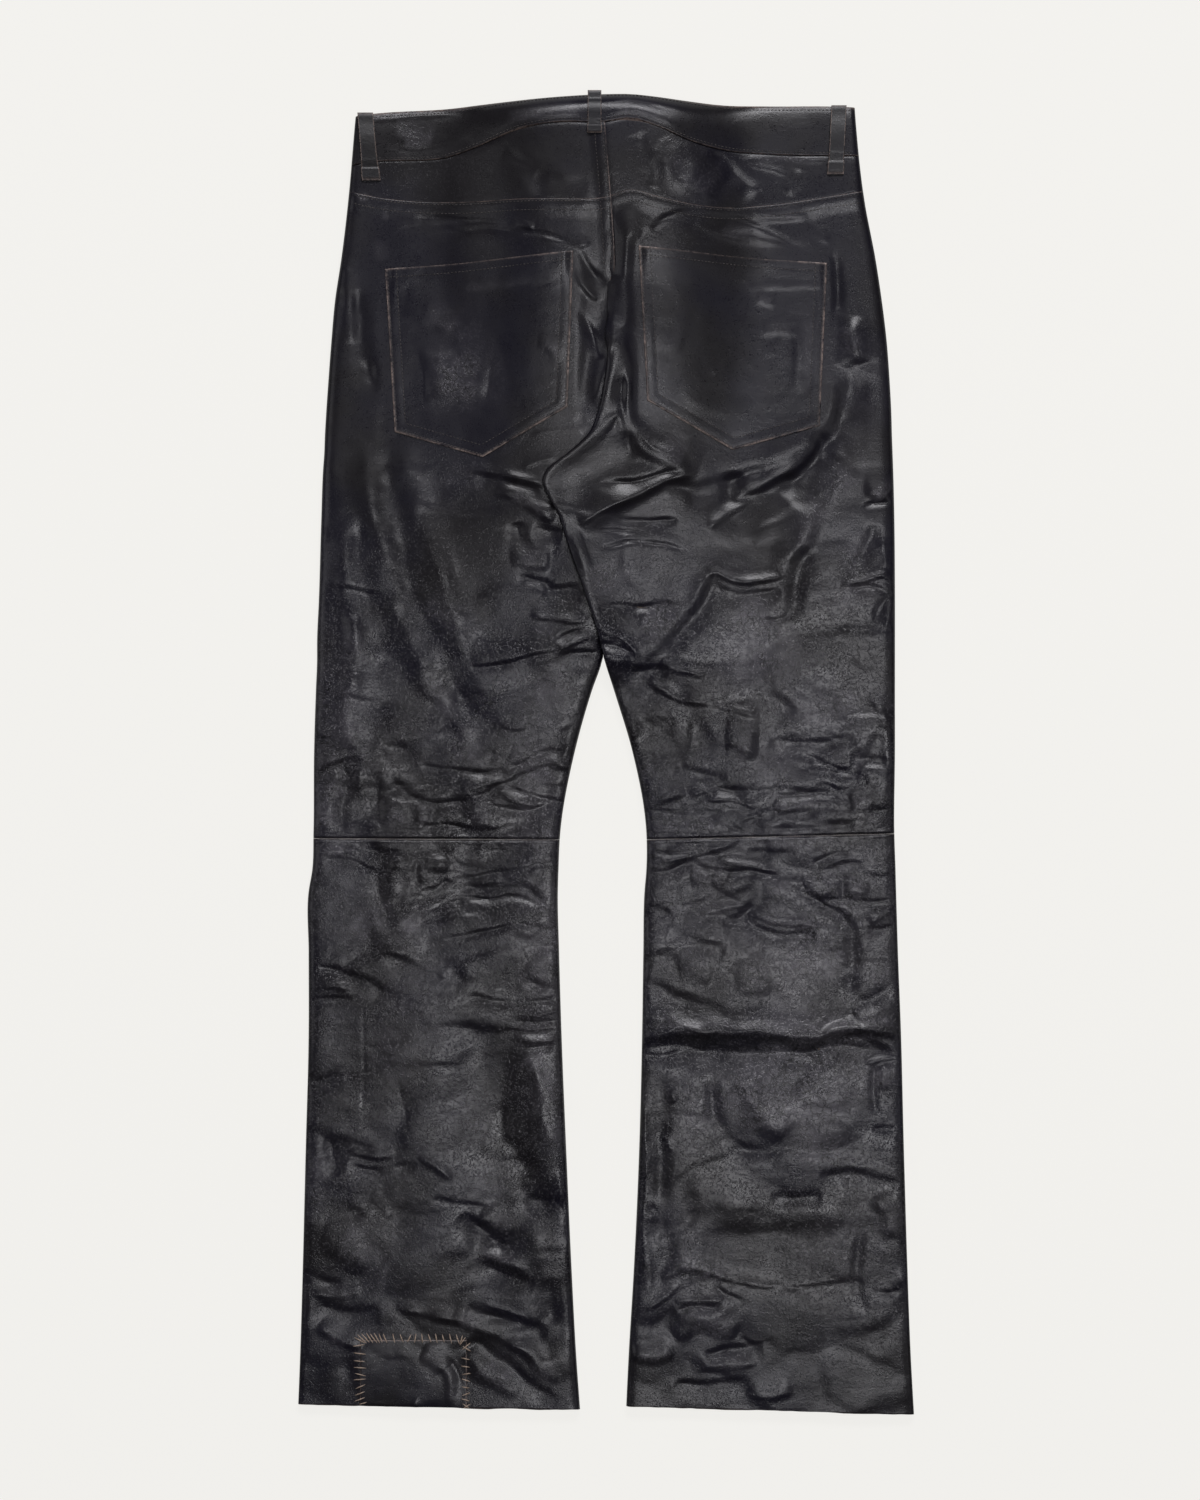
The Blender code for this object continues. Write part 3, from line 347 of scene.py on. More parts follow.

# Light patches, partly where the leather is rubbed and crackled and partly painted sheen and
# highlights where the light falls: strength, half width, points.
WEAR_AND_SHEEN = (
    # Broad grey painted sheen with rubbed wear, most of all over the right shin.
    (0.17, 42, 50,-110, 110,-150, 200,-180), (0.16, 38, 190,-50, 200,-120, 190,-190),
    (0.24, 34, 50,-285, 120,-290, 200,-305), (0.14, 30, 50,-360, 60,-430, 60,-490),
    (0.15, 34, 190,-330, 205,-390, 195,-450), (0.12, 34, 20,210, 50,140, 120,80),
    (0.13, 40, 90,70, 150,20, 220,-20), (0.14, 24, 212,350, 208,280, 195,190),
    (0.1, 24, -232,180, -234,100, -225,-60), (0.12, 34, -225,-110, -200,-150, -150,-140),
    (0.12, 20, -234,-180, -228,-250, -234,-340), (0.07, 34, -200,-330, -180,-420, -170,-480),
    (0.14, 12, -58,-90, -50,-150, -48,-220, -46,-310), (0.1, 30, -110,60, -70,0, -60,-60),
    (0.17, 24, 38,0, 44,-120, 46,-250), (0.34, 34, 118,-160, 150,-230, 140,-310),
    (0.45, 26, 104,-262, 130,-284, 156,-306), (0.12, 30, 200,-70, 212,-190, 214,-300),
    (0.34, 17, -48,70, -62,-60, -58,-190, -52,-300), (0.24, 20, -226,90, -230,-40, -230,-170),
    # A thin painted highlight along the waist side of the right shin's big fold, on the side that
    # faces the light.
    (0.5, 3, 34,-229, 70,-225, 122,-227, 180,-227, 214,-222, 244,-225),
    (0.4, 9, 44,252, 54,246, 64,242), (0.7, 13, -8,156, -4,144, 2,132),
    (0.6, 14, 30,110, 40,104, 44,96), (0.55, 18, 104,112, 122,108, 140,116),
    (0.4, 24, 90,80, 130,76, 165,84), (0.45, 9, 206,232, 184,208, 158,168),
    (0.6, 8, 222,218, 226,214, 230,210), (0.5, 12, 206,186, 206,170, 198,152),
    (0.4, 12, 190,112, 205,128, 225,128), (0.55, 13, 106,8, 112,4, 118,2),
    (0.35, 18, 120,-14, 140,-18, 160,-14), (0.4, 16, 190,44, 206,34, 214,20),
    (0.35, 14, 150,26, 175,30, 195,26), (0.4, 8, 30,-8, 36,-16, 42,-12),
    (0.55, 7, 132,-48, 152,-45, 178,-44), (0.55, 5, 204,-44, 211,-43, 219,-44),
    (0.5, 5, 40,-64, 64,-63, 90,-63), (0.5, 6, 230,-76, 231,-80, 231,-84),
    (0.35, 8, 110,-76, 140,-76, 190,-75), (0.45, 6, 134,-112, 144,-114, 154,-113),
    (0.45, 7, 170,-115, 182,-113, 192,-112), (0.5, 6, 202,-114, 208,-113, 215,-114),
    (0.4, 8, 72,-104, 78,-104, 100,-108), (0.45, 5, 124,-137, 150,-142, 176,-147),
    (0.4, 5, 80,-134, 98,-130, 114,-127), (0.4, 12, 66,-183, 75,-181, 86,-183),
    (0.45, 9, 112,-192, 122,-194, 132,-197), (0.4, 14, 150,-172, 175,-176, 190,-186),
    (0.45, 8, 214,-184, 226,-186, 236,-188), (0.5, 8, 214,-224, 224,-222, 234,-220),
    (0.5, 5, 44,-220, 52,-222, 58,-228), (0.8, 22, 116,-272, 124,-290, 136,-306),
    (0.8, 30, 150,-276, 175,-292, 188,-312), (0.55, 16, 200,-318, 180,-330, 158,-340),
    (0.6, 8, 230,-262, 231,-270, 232,-278), (0.45, 9, 232,-374, 234,-386, 236,-398),
    (0.35, 14, 66,-290, 74,-310, 72,-340), (0.45, 6, 56,-434, 76,-430, 100,-436),
    (0.5, 10, 72,-482, 86,-478, 104,-482), (0.45, 6, 26,-499, 40,-501, 54,-498),
    (0.4, 6, 80,-511, 100,-509, 120,-506), (0.35, 10, 150,-425, 180,-424, 196,-430),
    (0.55, 6, -214,56, -214,34, -212,10), (0.4, 7, -152,66, -138,44, -126,24),
    (0.35, 14, -132,0, -118,-4, -100,-2), (0.4, 14, -60,48, -48,48, -36,40),
    (0.6, 8, -68,-20, -54,-18, -40,-20), (0.4, 8, -112,-56, -104,-56, -96,-58),
    (0.55, 6, -226,-20, -229,-42, -230,-62), (0.5, 6, -184,-54, -174,-55, -166,-54),
    (0.55, 6, -156,-54, -153,-54, -149,-54), (0.55, 6, -54,-68, -48,-68, -43,-67),
    (0.45, 5, -232,-82, -218,-83, -206,-82), (0.35, 10, -222,-110, -214,-112, -208,-106),
    (0.6, 14, -212,-140, -202,-146, -196,-152), (0.65, 9, -168,-138, -163,-144, -164,-150),
    (0.65, 6, -142,-144, -140,-148, -140,-152), (0.5, 7, -50,-106, -46,-140, -46,-176),
    (0.3, 30, -200,-225, -170,-240, -190,-268), (0.7, 9, -66,-250, -52,-272, -46,-300),
    (0.55, 8, -46,-300, -44,-320, -42,-340), (0.35, 12, -122,-282, -112,-300, -104,-330),
    (0.35, 14, -112,-352, -100,-362, -88,-372), (0.4, 8, -94,-388, -86,-391, -80,-394),
    (0.45, 8, -240,-328, -240,-360, -238,-392), (0.5, 16, -222,-408, -204,-414, -188,-410),
    (0.45, 12, -206,-432, -196,-440, -184,-444), (0.45, 5, -232,-448, -222,-450, -210,-448),
    (0.45, 5, -104,-414, -90,-420, -74,-426), (0.5, 6, -122,-472, -114,-475, -106,-479),
    (0.45, 10, -104,-508, -94,-516, -80,-524), (0.4, 6, -62,-506, -54,-514, -42,-519),
    (0.3, 6, -234,-482, -226,-486, -216,-490), (0.25, 9, 52,490, 70,474, 86,462),
    (0.4, 4, 124,491, 150,492, 178,490), (0.2, 6, 96,432, 116,424, 140,415),
    (0.35, 5, 128,441, 146,441, 162,444), (0.35, 8, 204,352, 202,340, 200,330),
    (0.3, 5, -192,424, -188,416, -186,408), (0.5, 3, -205,458, -200,459, -196,459),
    (0.5, 3, -187,445, -184,444, -181,444), (0.3, 12, -136,228, -118,224, -100,222),
    (0.35, 6, -80,214, -66,206, -50,197), (0.35, 8, -72,156, -62,157, -52,154),
    (0.4, 6, -210,100, -207,86, -208,74), (0.35, 8, -150,116, -136,114, -122,96),
    (0.35, 8, -60,100, -50,100, -42,96),
)

# Rubbed wear and painted highlights on the waistband, most of all near its top edge.
BAND_WEAR_AND_SHEEN = (
    (0.8, 2.6, -196,524, -160,529, -112,533), (0.45, 5, -176,516, -160,514, -142,510),
    (0.4, 4, -168,506, -156,505, -144,506), (0.35, 5, -80,520, -50,527, -22,529),
    (0.4, 6, 8,528, 30,528, 56,520), (0.3, 3, 120,534, 150,533, 182,533),
)
BAND_CREASES = (
    (0.8, 4, -88,516, -56,526, -20,529), (0.9, 5, 2,528, 30,530, 58,519),
    (-0.7, 3, 6,534, 30,536, 62,528), (-0.6, 4, -182,506, -150,500, -110,508),
    (0.5, 3, -196,523, -160,526, -120,529),
)
POCKET_CREASES = (
    (-0.22, 1.8, -126,380, -90,383, -60,386, -38,393), (0.50, 3.4, -154,324, -140,324, -122,329),
    (2.20, 15, -150,298, -125,302, -98,300), (0.66, 10, -168,366, -142,358, -116,346),
    (0.44, 5, -58,336, -48,334, -38,322), (-0.17, 2.6, -150,312, -120,308, -92,314),
    (0.28, 2, 118,385, 150,386, 184,385), (0.50, 4, 124,376, 132,374, 140,370),
    (0.50, 5, 128,348, 146,348, 158,346), (0.39, 7, 42,337, 54,336, 64,334),
    (0.28, 1.2, 88,313, 94,317, 102,321), (0.55, 5, 156,356, 160,330, 158,300),
    (0.33, 8, 60,300, 90,284, 120,282),
)
# Painted sheen and highlights on the pockets, the broadest low on the left one, with rubbed wear.
POCKET_WEAR_AND_SHEEN = (
    (0.26, 34, -150,300, -120,300, -80,310), (0.34, 15, -142,304, -126,302, -106,300),
    (0.22, 8, -152,362, -138,358, -124,350), (0.25, 4, -52,337, -46,334, -40,324),
    (0.29, 3, -80,408, -52,411, -28,414), (0.19, 3, -118,382, -84,385, -44,392),
    (0.25, 2, 122,386, 150,386, 180,385), (0.29, 4, 126,376, 131,374, 136,371),
    (0.29, 5, 132,348, 144,348, 152,346), (0.17, 6, 44,336, 54,336, 62,335),
    (0.19, 7, 165,372, 167,340, 168,300),
)
PATCH_CREASES = (
    (1.2, 9, -152,-498, -142,-503, -134,-512), (1.0, 4, -136,-508, -130,-522, -128,-542),
    (-0.5, 1.2, -132,-500, -126,-510, -120,-524), (0.9, 3, -160,-538, -158,-541, -157,-545),
)
PATCH_RUBS = (
    (0.4, 9, -152,-499, -144,-503, -138,-508), (0.4, 4, -133,-512, -129,-524, -127,-538),
)
FRONT_CREASES = (
    (1.0, 9, -210,-250, -130,-240, -60,-252), (0.9, 8, 60,-236, 140,-244, 214,-232),
    (0.8, 7, -190,-30, -120,-42, -60,-34), (0.9, 7, 66,-40, 130,-30, 200,-44),
    (0.8, 8, -20,110, -90,130, -170,190), (0.8, 8, 20,110, 90,130, 170,190),
    (0.9, 7, -24,150, -80,180, -130,240), (0.9, 7, 26,150, 84,176, 140,246),
    (0.8, 6, -200,-120, -140,-130, -80,-118), (0.8, 6, 80,-110, 140,-128, 200,-120),
    (0.8, 10, -190,-400, -140,-410, -90,-396), (0.8, 10, 90,-404, 150,-396, 210,-410),
)

WALL = 1.3
BAND_WALL = 1.6
PATCH_WALL = 1.0
SEAM_GAP = 0.12
KNEE_GROOVE = 0.9
POCKET_GAP = 0.3
PATCH_GAP = 0.2
FRONT_KNEE_GAP = 0.15
FRONT_BAND_GAP = 0.25
FLY_GAP = 0.7
CLOSING_GAP = 0.3

# The steps between points: on a face, close to its cut edges and at the middle seam, and on
# the plainer inside.
STEP = 1.45
EDGE_STEP = 0.45
SEAT_EDGE_STEP = 0.5
EDGE_BAND = 3.0
BACKING_STEP = 5.5
DETAIL = ((STEP, EDGE_STEP), (BACKING_STEP, 0.0))
FRONT_STEPS = (4.0, 9.0)
FRONT_BAND_STEPS = (3.0, 8.0)

# The section of a crease: where it ends in half widths, how far it leans, and the strength,
# roundness and drop of a sharp crest.
REACH = 3.0
LEAN = 0.55
CREST, CREST_ROUND, CREST_DROP = 1.3, 0.06, 0.245
POCKET_CALM = 12.0
# How strongly the patches of rubbed wear and painted sheen show.
WEAR_AND_SHEEN_GAIN = 1.35

# The rows of machine stitches, by their distance from a piece's edge, and their dents.
YOKE_ROWS = (2.2, 9.3)
MIDDLE_ROWS = (2.2, 9.0)
BAND_ROWS = (2.4, 3.2)
POCKET_ROWS = (2.0, 9.2)
MOUTH_ROW = 7.0
MOUTH_SAG = 1.2
DENT = 0.08


# --- Curves and fields ---


def smooth(at, stations, values):
    """Cubic curve through the stations: each value eased to the next by 3t2 - 2t3, plus the
    slopes at both ends, which are taken from the stations beside them."""
    stations = np.asarray(stations, float)
    values = np.asarray(values, float)
    slopes = np.gradient(values, stations)
    i = np.clip(np.searchsorted(stations, at) - 1, 0, len(stations) - 2)
    step = stations[i + 1] - stations[i]
    t = np.clip((at - stations[i]) / step, 0, 1)
    rise = values[i + 1] - values[i]
    bend = step * t * (1 - t) * (slopes[i] * (1 - t) - slopes[i + 1] * t)
    return values[i] + rise * t * t * (3 - 2 * t) + bend


def outline(y, name):
    """A column of the outline at the height y."""
    return smooth(y, OUTLINE["y"][::-1], OUTLINE[name][::-1])


def waist(x, name):
    """A seam of the waist at the place x."""
    return smooth(x, WAIST["x"], WAIST[name])


def leg_line(ends, side, x):
    """A knee or hem line, which runs straight from a leg's outer edge to its inner one."""
    start, end = SEAM_REACH[side]
    outer, inner = ends[side]
    return outer + (inner - outer) * (x - start) / (end - start)


def ease(value, start, end):
    """0 before start, 1 after end, and 3t2 - 2t3 between them."""
    t = np.clip((value - start) / (end - start), 0, 1)
    return t * t * (3 - 2 * t)


def bump(value, middle, width):
    """Gaussian hump: e to the minus of (value - middle) / width squared."""
    return np.exp(-(((value - middle) / width) ** 2))


def noise(x, y, size, seed):
    """Smooth field from -1 to 1: values drawn on a square lattice of the given size, eased
    from each to the next by 6t5 - 15t4 + 10t3 both ways."""
    count = 97
    lattice = np.random.default_rng(seed).uniform(-1, 1, (count, count))
    u, v = x / size, y / size
    i, j = np.floor(u), np.floor(v)
    s, t = u - i, v - j
    s = s * s * s * (s * (6 * s - 15) + 10)
    t = t * t * t * (t * (6 * t - 15) + 10)
    i, j = i.astype(int) % count, j.astype(int) % count
    k, m = (i + 1) % count, (j + 1) % count
    low = lattice[j, i] * (1 - s) + lattice[j, k] * s
    high = lattice[m, i] * (1 - s) + lattice[m, k] * s
    return low * (1 - t) + high * t


def curve(points, spacing=4.0):
    """Cubic curve through the points, cut into steps of about the spacing."""
    points = np.asarray(points, float).reshape(-1, 2)
    length = np.linalg.norm(np.diff(points, axis=0), axis=1).sum()
    at = np.linspace(0, len(points) - 1, max(4, int(length / spacing)) + 1)
    stations = np.arange(len(points))
    return np.stack([smooth(at, stations, points[:, 0]), smooth(at, stations, points[:, 1])], -1)


def strokes(rows, x, y, crisp=0.0):
    """Sum of soft ridges: each row's height times 1 - (2s - 1)4 along its curve, times a
    section over d, the distance from the curve in half widths: e to the minus of d squared,
    blended by crisp, for the narrow ones, with e to the minus of 1.3 (root of (d squared +
    0.06) - 0.245), which comes to a sharper crest, and faded out at three half widths. Its
    side towards the waist is drawn out, and the other one is steeper, by e to the lean times
    the offset's share along y; a trough leans the other way."""
    total = np.zeros(x.size)
    px, py = x.ravel(), y.ravel()
    for height, width, *points in rows:
        path = curve(points)
        margin = 1.4 * REACH * width
        low, high = path.min(0) - margin, path.max(0) + margin
        near = np.nonzero((px > low[0]) & (px < high[0]) & (py > low[1]) & (py < high[1]))[0]
        if not len(near):
            continue
        qx, qy = px[near], py[near]
        best = np.full(len(near), np.inf)
        along = np.zeros(len(near))
        above = np.zeros(len(near))
        for i in range(len(path) - 1):
            (ax, ay), (dx, dy) = path[i], path[i + 1] - path[i]
            share = np.clip(((qx - ax) * dx + (qy - ay) * dy) / (dx * dx + dy * dy), 0, 1)
            off = qy - ay - share * dy
            gap = (qx - ax - share * dx) ** 2 + off**2
            closer = gap < best
            above = np.where(closer, off, above)
            best = np.where(closer, gap, best)
            along = np.where(closer, (i + share) / (len(path) - 1), along)
        lean = np.exp(LEAN * np.sign(height) * above / np.sqrt(best + 0.01))
        d = best / (width * lean) ** 2
        section = np.exp(-d)
        blend = crisp * np.clip((6.5 - width) / 3.5, 0, 1)
        if blend:
            sharp = np.exp(-CREST * (np.sqrt(d + CREST_ROUND) - CREST_DROP))
            sharp = sharp * np.maximum(1 - d / REACH**2, 0) ** 2
            section = section * (1 - blend) + sharp * blend
        total[near] += height * section * (1 - (2 * along - 1) ** 4)
    return total.reshape(x.shape)


def wandered(x, y):
    """The place moved a little by two soft fields, so that no crease runs quite true."""
    return (
        x + 1.8 * noise(x, y, 26, 11) + 0.3 * noise(x, y, 8, 12),
        y + 1.8 * noise(x, y, 24, 13) + 0.3 * noise(x, y, 7, 14),
    )


def under_pocket(x, y):
    """1 under a back pocket, where the doubled leather lies smooth, fading to 0 round it."""
    total, calm = 0.0, POCKET_CALM
    for corners in POCKETS.values():
        (left, low), (right, high) = np.min(corners, axis=0), np.max(corners, axis=0)
        across = ease(x, left - calm, left) * ease(-x, -right - calm, -right)
        total = total + across * ease(y, low, low + 3 * calm) * ease(-y, -high - calm, -high)
    return total


def dome(x, y):
    """The seat: its share of the full rise at the height y, times e to the minus of the place
    across over the reach, to the fourth power."""
    share = smooth(y, SEAT["y"], SEAT["share"])
    return SEAT_RISE * share * np.exp(-(((x - SEAT_CENTRE) / SEAT_REACH) ** 4))


def facets(x, y, size, seed, tilt, swell):
    """Crumpled field in units of the size: one soft facet to each cell of a jittered square
    lattice, a plane of its own tilt less the swell times the distance squared from its middle,
    and the nine nearest ones blended by e to the minus of 12 times the distance."""
    count = 89
    draw = np.random.default_rng(seed).uniform(-1, 1, (4, count, count))
    u, v = x / size, y / size
    i, j = np.floor(u).astype(int), np.floor(v).astype(int)
    total, weight = 0.0, 1e-9
    for di in (-1, 0, 1):
        for dj in (-1, 0, 1):
            k, m = (i + di) % count, (j + dj) % count
            away_u = u - (i + di + 0.5 + 0.4 * draw[0, m, k])
            away_v = v - (j + dj + 0.5 + 0.4 * draw[1, m, k])
            square = away_u**2 + away_v**2
            near = np.exp(-12.0 * np.sqrt(square))
            plane = tilt * (draw[2, m, k] * away_u + draw[3, m, k] * away_v) - swell * square
            total, weight = total + near * plane, weight + near
    return total / weight


def wrinkles(x, y):
    """Fine wrinkles lying mostly across the legs: three crumpled fields, each stretched along
    x. They are deepest round the knees and die out on the seat."""
    u = x + 6 * noise(x, y, 38, 25) + 1.5 * noise(x, y, 9, 23)
    v = y + 7 * noise(x, y, 45, 26) + 2.0 * noise(x, y, 13, 27)
    knee = np.exp(-(((y + 60) / 110) ** 2))
    broad = 34 * facets(u * 0.55, v, 34, 28, 0.07, 0.03) * (0.6 + 0.4 * knee)
    small = 12 * facets(u * 0.5, v * 1.1, 12, 29, 0.06, 0.07)
    small = small + 5 * facets(u * 0.6, v * 1.2, 5, 30, 0.03, 0.05)
    small = small * (0.16 + 0.5 * knee) * np.clip(0.8 + 0.9 * noise(x, y, 42, 32), 0.1, 1.6)
    return (broad + small) * ease(340 - y, 0, 140)


def relief(x, y):
    """Folds, creases and the unevenness of worn leather over the broad form of the back."""
    wx, wy = wandered(x, y)
    calm = 1 - under_pocket(x, y)
    below_band = ease(waist(x, "band") - y, -1, 7)
    leg = ease(-y, -140, 60)
    rough = (0.6 + 0.3 * leg) * noise(x, y, 52, 21) + (0.1 + 0.3 * leg) * noise(x, y, 27, 22)
    uneven = 1 + 0.55 * noise(x, y, 15, 24)
    depth = 1.0 - 0.25 * ease(60 - y, 0, 120) - 0.35 * ease(y, 370, 430)
    small = strokes(CREASES, wx, wy, 0.8) * depth * uneven
    fine = wrinkles(x, y) + rough
    return (strokes(FOLDS, wx, wy) + (small + fine) * below_band) * calm


def lap_over(y):
    """How far the right back panel is rolled over the left one at the height y, 0 to 1."""
    return ease(y, *LIFTED) - ease(y, *LOWERED)


# --- The back's panels ---


def rounded(gap, reach=1.0, drop=0.55):
    """How far a cut edge drops: a quarter ellipse over the reach from the edge."""
    t = 1 - np.clip(gap / reach, 0, 1)
    return drop * (1 - np.sqrt(np.maximum(1 - t * t, 0)))


def stitched(gap, *rows):
    """The dents that rows of stitches pull along a seam, at those distances from its edge."""
    return sum(DENT * bump(gap, row, 0.9) for row in rows)


def raised(gap, lift=1.35, flat=3.0, end=18.0):
    """How far a panel stands up on the one that it laps, falling with the distance from the
    edge."""
    return lift * (1 - ease(gap, flat, end))


def crossing(y):
    """Where the right back comes to lie over the left one below the middle seam, 0 to 1."""
    return ease(y, *CROSSED) * (1 - ease(y, *UNCROSSED))


def centre_lap(side, x, y):
    """The left back laps the right one down the middle, from the waist to the fold below."""
    edge = outline(y, "left_in")
    here = ease(y, *LAPPED)
    gap = edge - x
    if side == "left":
        return here * (raised(gap, end=15) - stitched(gap, *MIDDLE_ROWS) - rounded(gap))
    under = ease(edge + 2.0 - x, 0, 2)
    over = crossing(y) * raised(x - outline(y, "right_in") + CROSSING, 1.5, 4, 16)
    return here * under * (raised(np.maximum(gap, 0), end=15) - 1.55) + over


def thigh_lift(side, x, y):
    """What the seams add to a thigh panel: it laps the yoke, and meets the shin in a groove."""
    top = waist(x, "yoke") - y
    foot = y - leg_line(KNEE, side, x)
    lift = raised(top) - stitched(top, *YOKE_ROWS) - rounded(top)
    groove = -KNEE_GROOVE * bump(foot, 0, 1.2) + 0.5 * bump(foot, 2.4, 1.5)
    return lift + groove + centre_lap(side, x, y)


def yoke_lift(side, x, y):
    """What the seams add to a yoke: it runs on under the thigh below and the band above."""
    low = y - waist(x, "yoke")
    high = waist(x, "band") - y
    under_thigh = ease(1.2 - low, 0, 1.2) * (raised(np.maximum(-low, 0)) - 1.5)
    under_band = ease(1.2 - high, 0, 1.2) * (raised(np.maximum(-high, 0), 1.5, 3, 14) - 1.9)
    return under_thigh + under_band + centre_lap(side, x, y)


def band_lift(side, x, y):
    """What the seams add to the waistband: it laps the yokes."""
    low = y - waist(x, "band")
    high = waist(x, "top") - y
    wx, wy = wandered(x, y)
    sewn = stitched(low, BAND_ROWS[0]) + stitched(high, BAND_ROWS[1])
    lift = raised(low, 1.5, 3, 70) - rounded(low) - sewn
    return lift + strokes(BAND_CREASES, wx, wy) + 0.3 * noise(x, y, 30, 31)


def shin_lift(side, x, y):
    """What the seams add to a shin panel: a groove at the knee, and the cut hem."""
    head = leg_line(KNEE, side, x) - y
    foot = y - leg_line(HEM, side, x)
    groove = -KNEE_GROOVE * bump(head, 0, 1.2) + 0.4 * bump(head, 2.4, 1.5)
    return groove - rounded(foot, 1.2, 0.6)


def back_height(side, x, y, lift):
    """Height of the outer face of one side of the back. Above the band's seam it turns down
    to the height of the mouth: the share of the way up, to a power that keeps it flatter at
    first, sets the place on a quarter ellipse."""
    seam = waist(x, "band")
    below = np.minimum(y, seam)
    height = outline(below, "loft") + dome(x, below) + relief(x, below)
    if side == "right":
        inner = outline(y, "right_in")
        height = height + ROLL_LIFT * lap_over(y) * np.exp(-np.abs(x - inner) / ROLL_REACH)
    share = np.clip((y - seam) / (waist(x, "top") - seam), 0, 1) ** BAND_FLAT
    turned = np.sqrt(np.maximum(1 - (share * math.sin(BAND_TURN)) ** 2, 0))
    left_over = (turned - math.cos(BAND_TURN)) / (1 - math.cos(BAND_TURN))
    height = np.where(y > seam, MOUTH_HEIGHT + (height - MOUTH_HEIGHT) * left_over, height)
    return height + lift(side, x, y)


def side_share(side, x, y):
    """How high on the side fold the place x lies, 0 at the side seam and 1 inside: the fold is a
    quarter of a squared circle, |a|^p + |b|^p = 1 with p = 2 / SQUARE."""
    far = np.abs(x - outline(y, side + "_out")) / outline(y, "fold")
    return np.maximum(1 - (1 - np.clip(far, 0, 1)) ** (2 / SQUARE), 0) ** (SQUARE / 2)


def on_back(side, x, y, lift):
    """Height of the back over any place of the plan, side folds and all."""
    top = back_height(side, x, y, lift)
    seam = outline(y, "seam")
    return seam + (top - seam) * side_share(side, x, y)


def rolled_share(side, y):
    """1 where the inner edge of a back panel is rolled, 0 where it lies flat at the middle."""
    return 1 - ease(y, *FLAT[side])


def roll_of(side, c, y):
    """How far inside the inner edge the point c lies, 0 to 1, and its angle round that edge,
    where 90 degrees is level."""
    b = np.minimum(3 - c, 1)
    start = 0 * y if side == "left" else ROLL_ANGLE * ease(y, *CURLED)
    return b, start + (QUARTER - start) * b


def panel_across(side, c, ends, widths, near):
    """The place x of a point c across a panel. It goes from the outer edge (c from 0 to 1) over
    the flat (1 to 2) to the inner edge (2 to 3): both ends of the panel, the width of the
    rounding at each, and how far inside the end the point lies there."""
    inward = INWARD[side]
    (outer, inner), m = ends, np.clip(c - 1, 0, 1)
    flat = (outer + inward * widths[0]) * (1 - m) + (inner - inward * widths[1]) * m
    at_inner = np.where(c > 2, inner - inward * near[1], flat)
    return np.where(c < 1, outer + inward * near[0], at_inner)


def back_across(side, c, y):
    """The place x of a point c across the back at the height y."""
    outer = outline(y, side + "_out")
    inner = outline(y, side + "_in")
    if side == "right":
        inner = inner - UNDERLAP * ease(y, *UNDER) - CROSSING * crossing(y)
    else:
        inner = inner - MIDDLE_GAP
    fold = outline(y, "fold")
    turn = QUARTER * np.minimum(c, 1)
    b, roll = roll_of(side, c, y)
    rolled = rolled_share(side, y)
    turned = 1 - np.maximum(np.cos(roll), 0) ** SQUARE
    near_outer = fold * (1 - np.abs(np.cos(turn)) ** SQUARE)
    near_inner = INNER_ROUND * (rolled * turned + (1 - rolled) * b)
    return panel_across(side, c, (outer, inner), (fold, INNER_ROUND), (near_outer, near_inner))


def back_up(side, c, x, y, lift):
    """The height of a point across the back: round the side fold and the inner edge it follows
    a quarter ellipse, and between them the back's own height."""
    top = back_height(side, x, y, lift)
    seam = outline(y, "seam")
    at_side = seam + (top - seam) * np.sin(QUARTER * np.minimum(c, 1)) ** SQUARE
    roll = roll_of(side, c, y)[1]
    if side == "left":
        low = seam + (top - LEFT_DIP - seam) * ease(y, *LEFT_UP)
    else:
        row_y = y[:, -1:]
        edge = outline(row_y, "right_in")
        below = outline(row_y, "loft") + dome(edge, row_y) + relief(edge, row_y)
        over_left = below + ROLL_DEPTH + ROLL_CLEARANCE
        low = seam + (over_left - seam) * ease(y, *LEVEL)
    rise = np.sin(roll)
    curled = low + (top - low) * np.maximum(rise, 0) ** SQUARE + ROLL_DEPTH * np.minimum(rise, 0)
    rolled = rolled_share(side, y)
    at_inner = (1 - rolled) * top + rolled * curled
    return np.where(c < 1, at_side, np.where(c > 2, at_inner, top))


def front_top(x):
    """The front waistband's top edge, which dips at the middle."""
    ends = (waist(-FRONT_HALF, "top"), waist(FRONT_HALF, "top"))
    level = ends[0] + (ends[1] - ends[0]) * (x + FRONT_HALF) / (2 * FRONT_HALF)
    return level - FRONT_DIP * (1 - (x / FRONT_HALF) ** 2)


def front_rest(x, y):
    """Height of the front's outer face over the floor: its creases, and the ramp to the band."""
    foot = front_top(x) - BAND_WIDTH - LOOP_FOOT
    flat = 1 - ease(y, foot - FRONT_RAMP - 30, foot - FRONT_RAMP)
    return FRONT_REST * ease(y, foot - FRONT_RAMP, foot) + flat * strokes(FRONT_CREASES, x, y)


def front_rolled(y):
    """1 where the inner edge of a front panel turns up to the seam, 0 above the fork."""
    return 1 - ease(y, FORK - 5, FORK + 35)


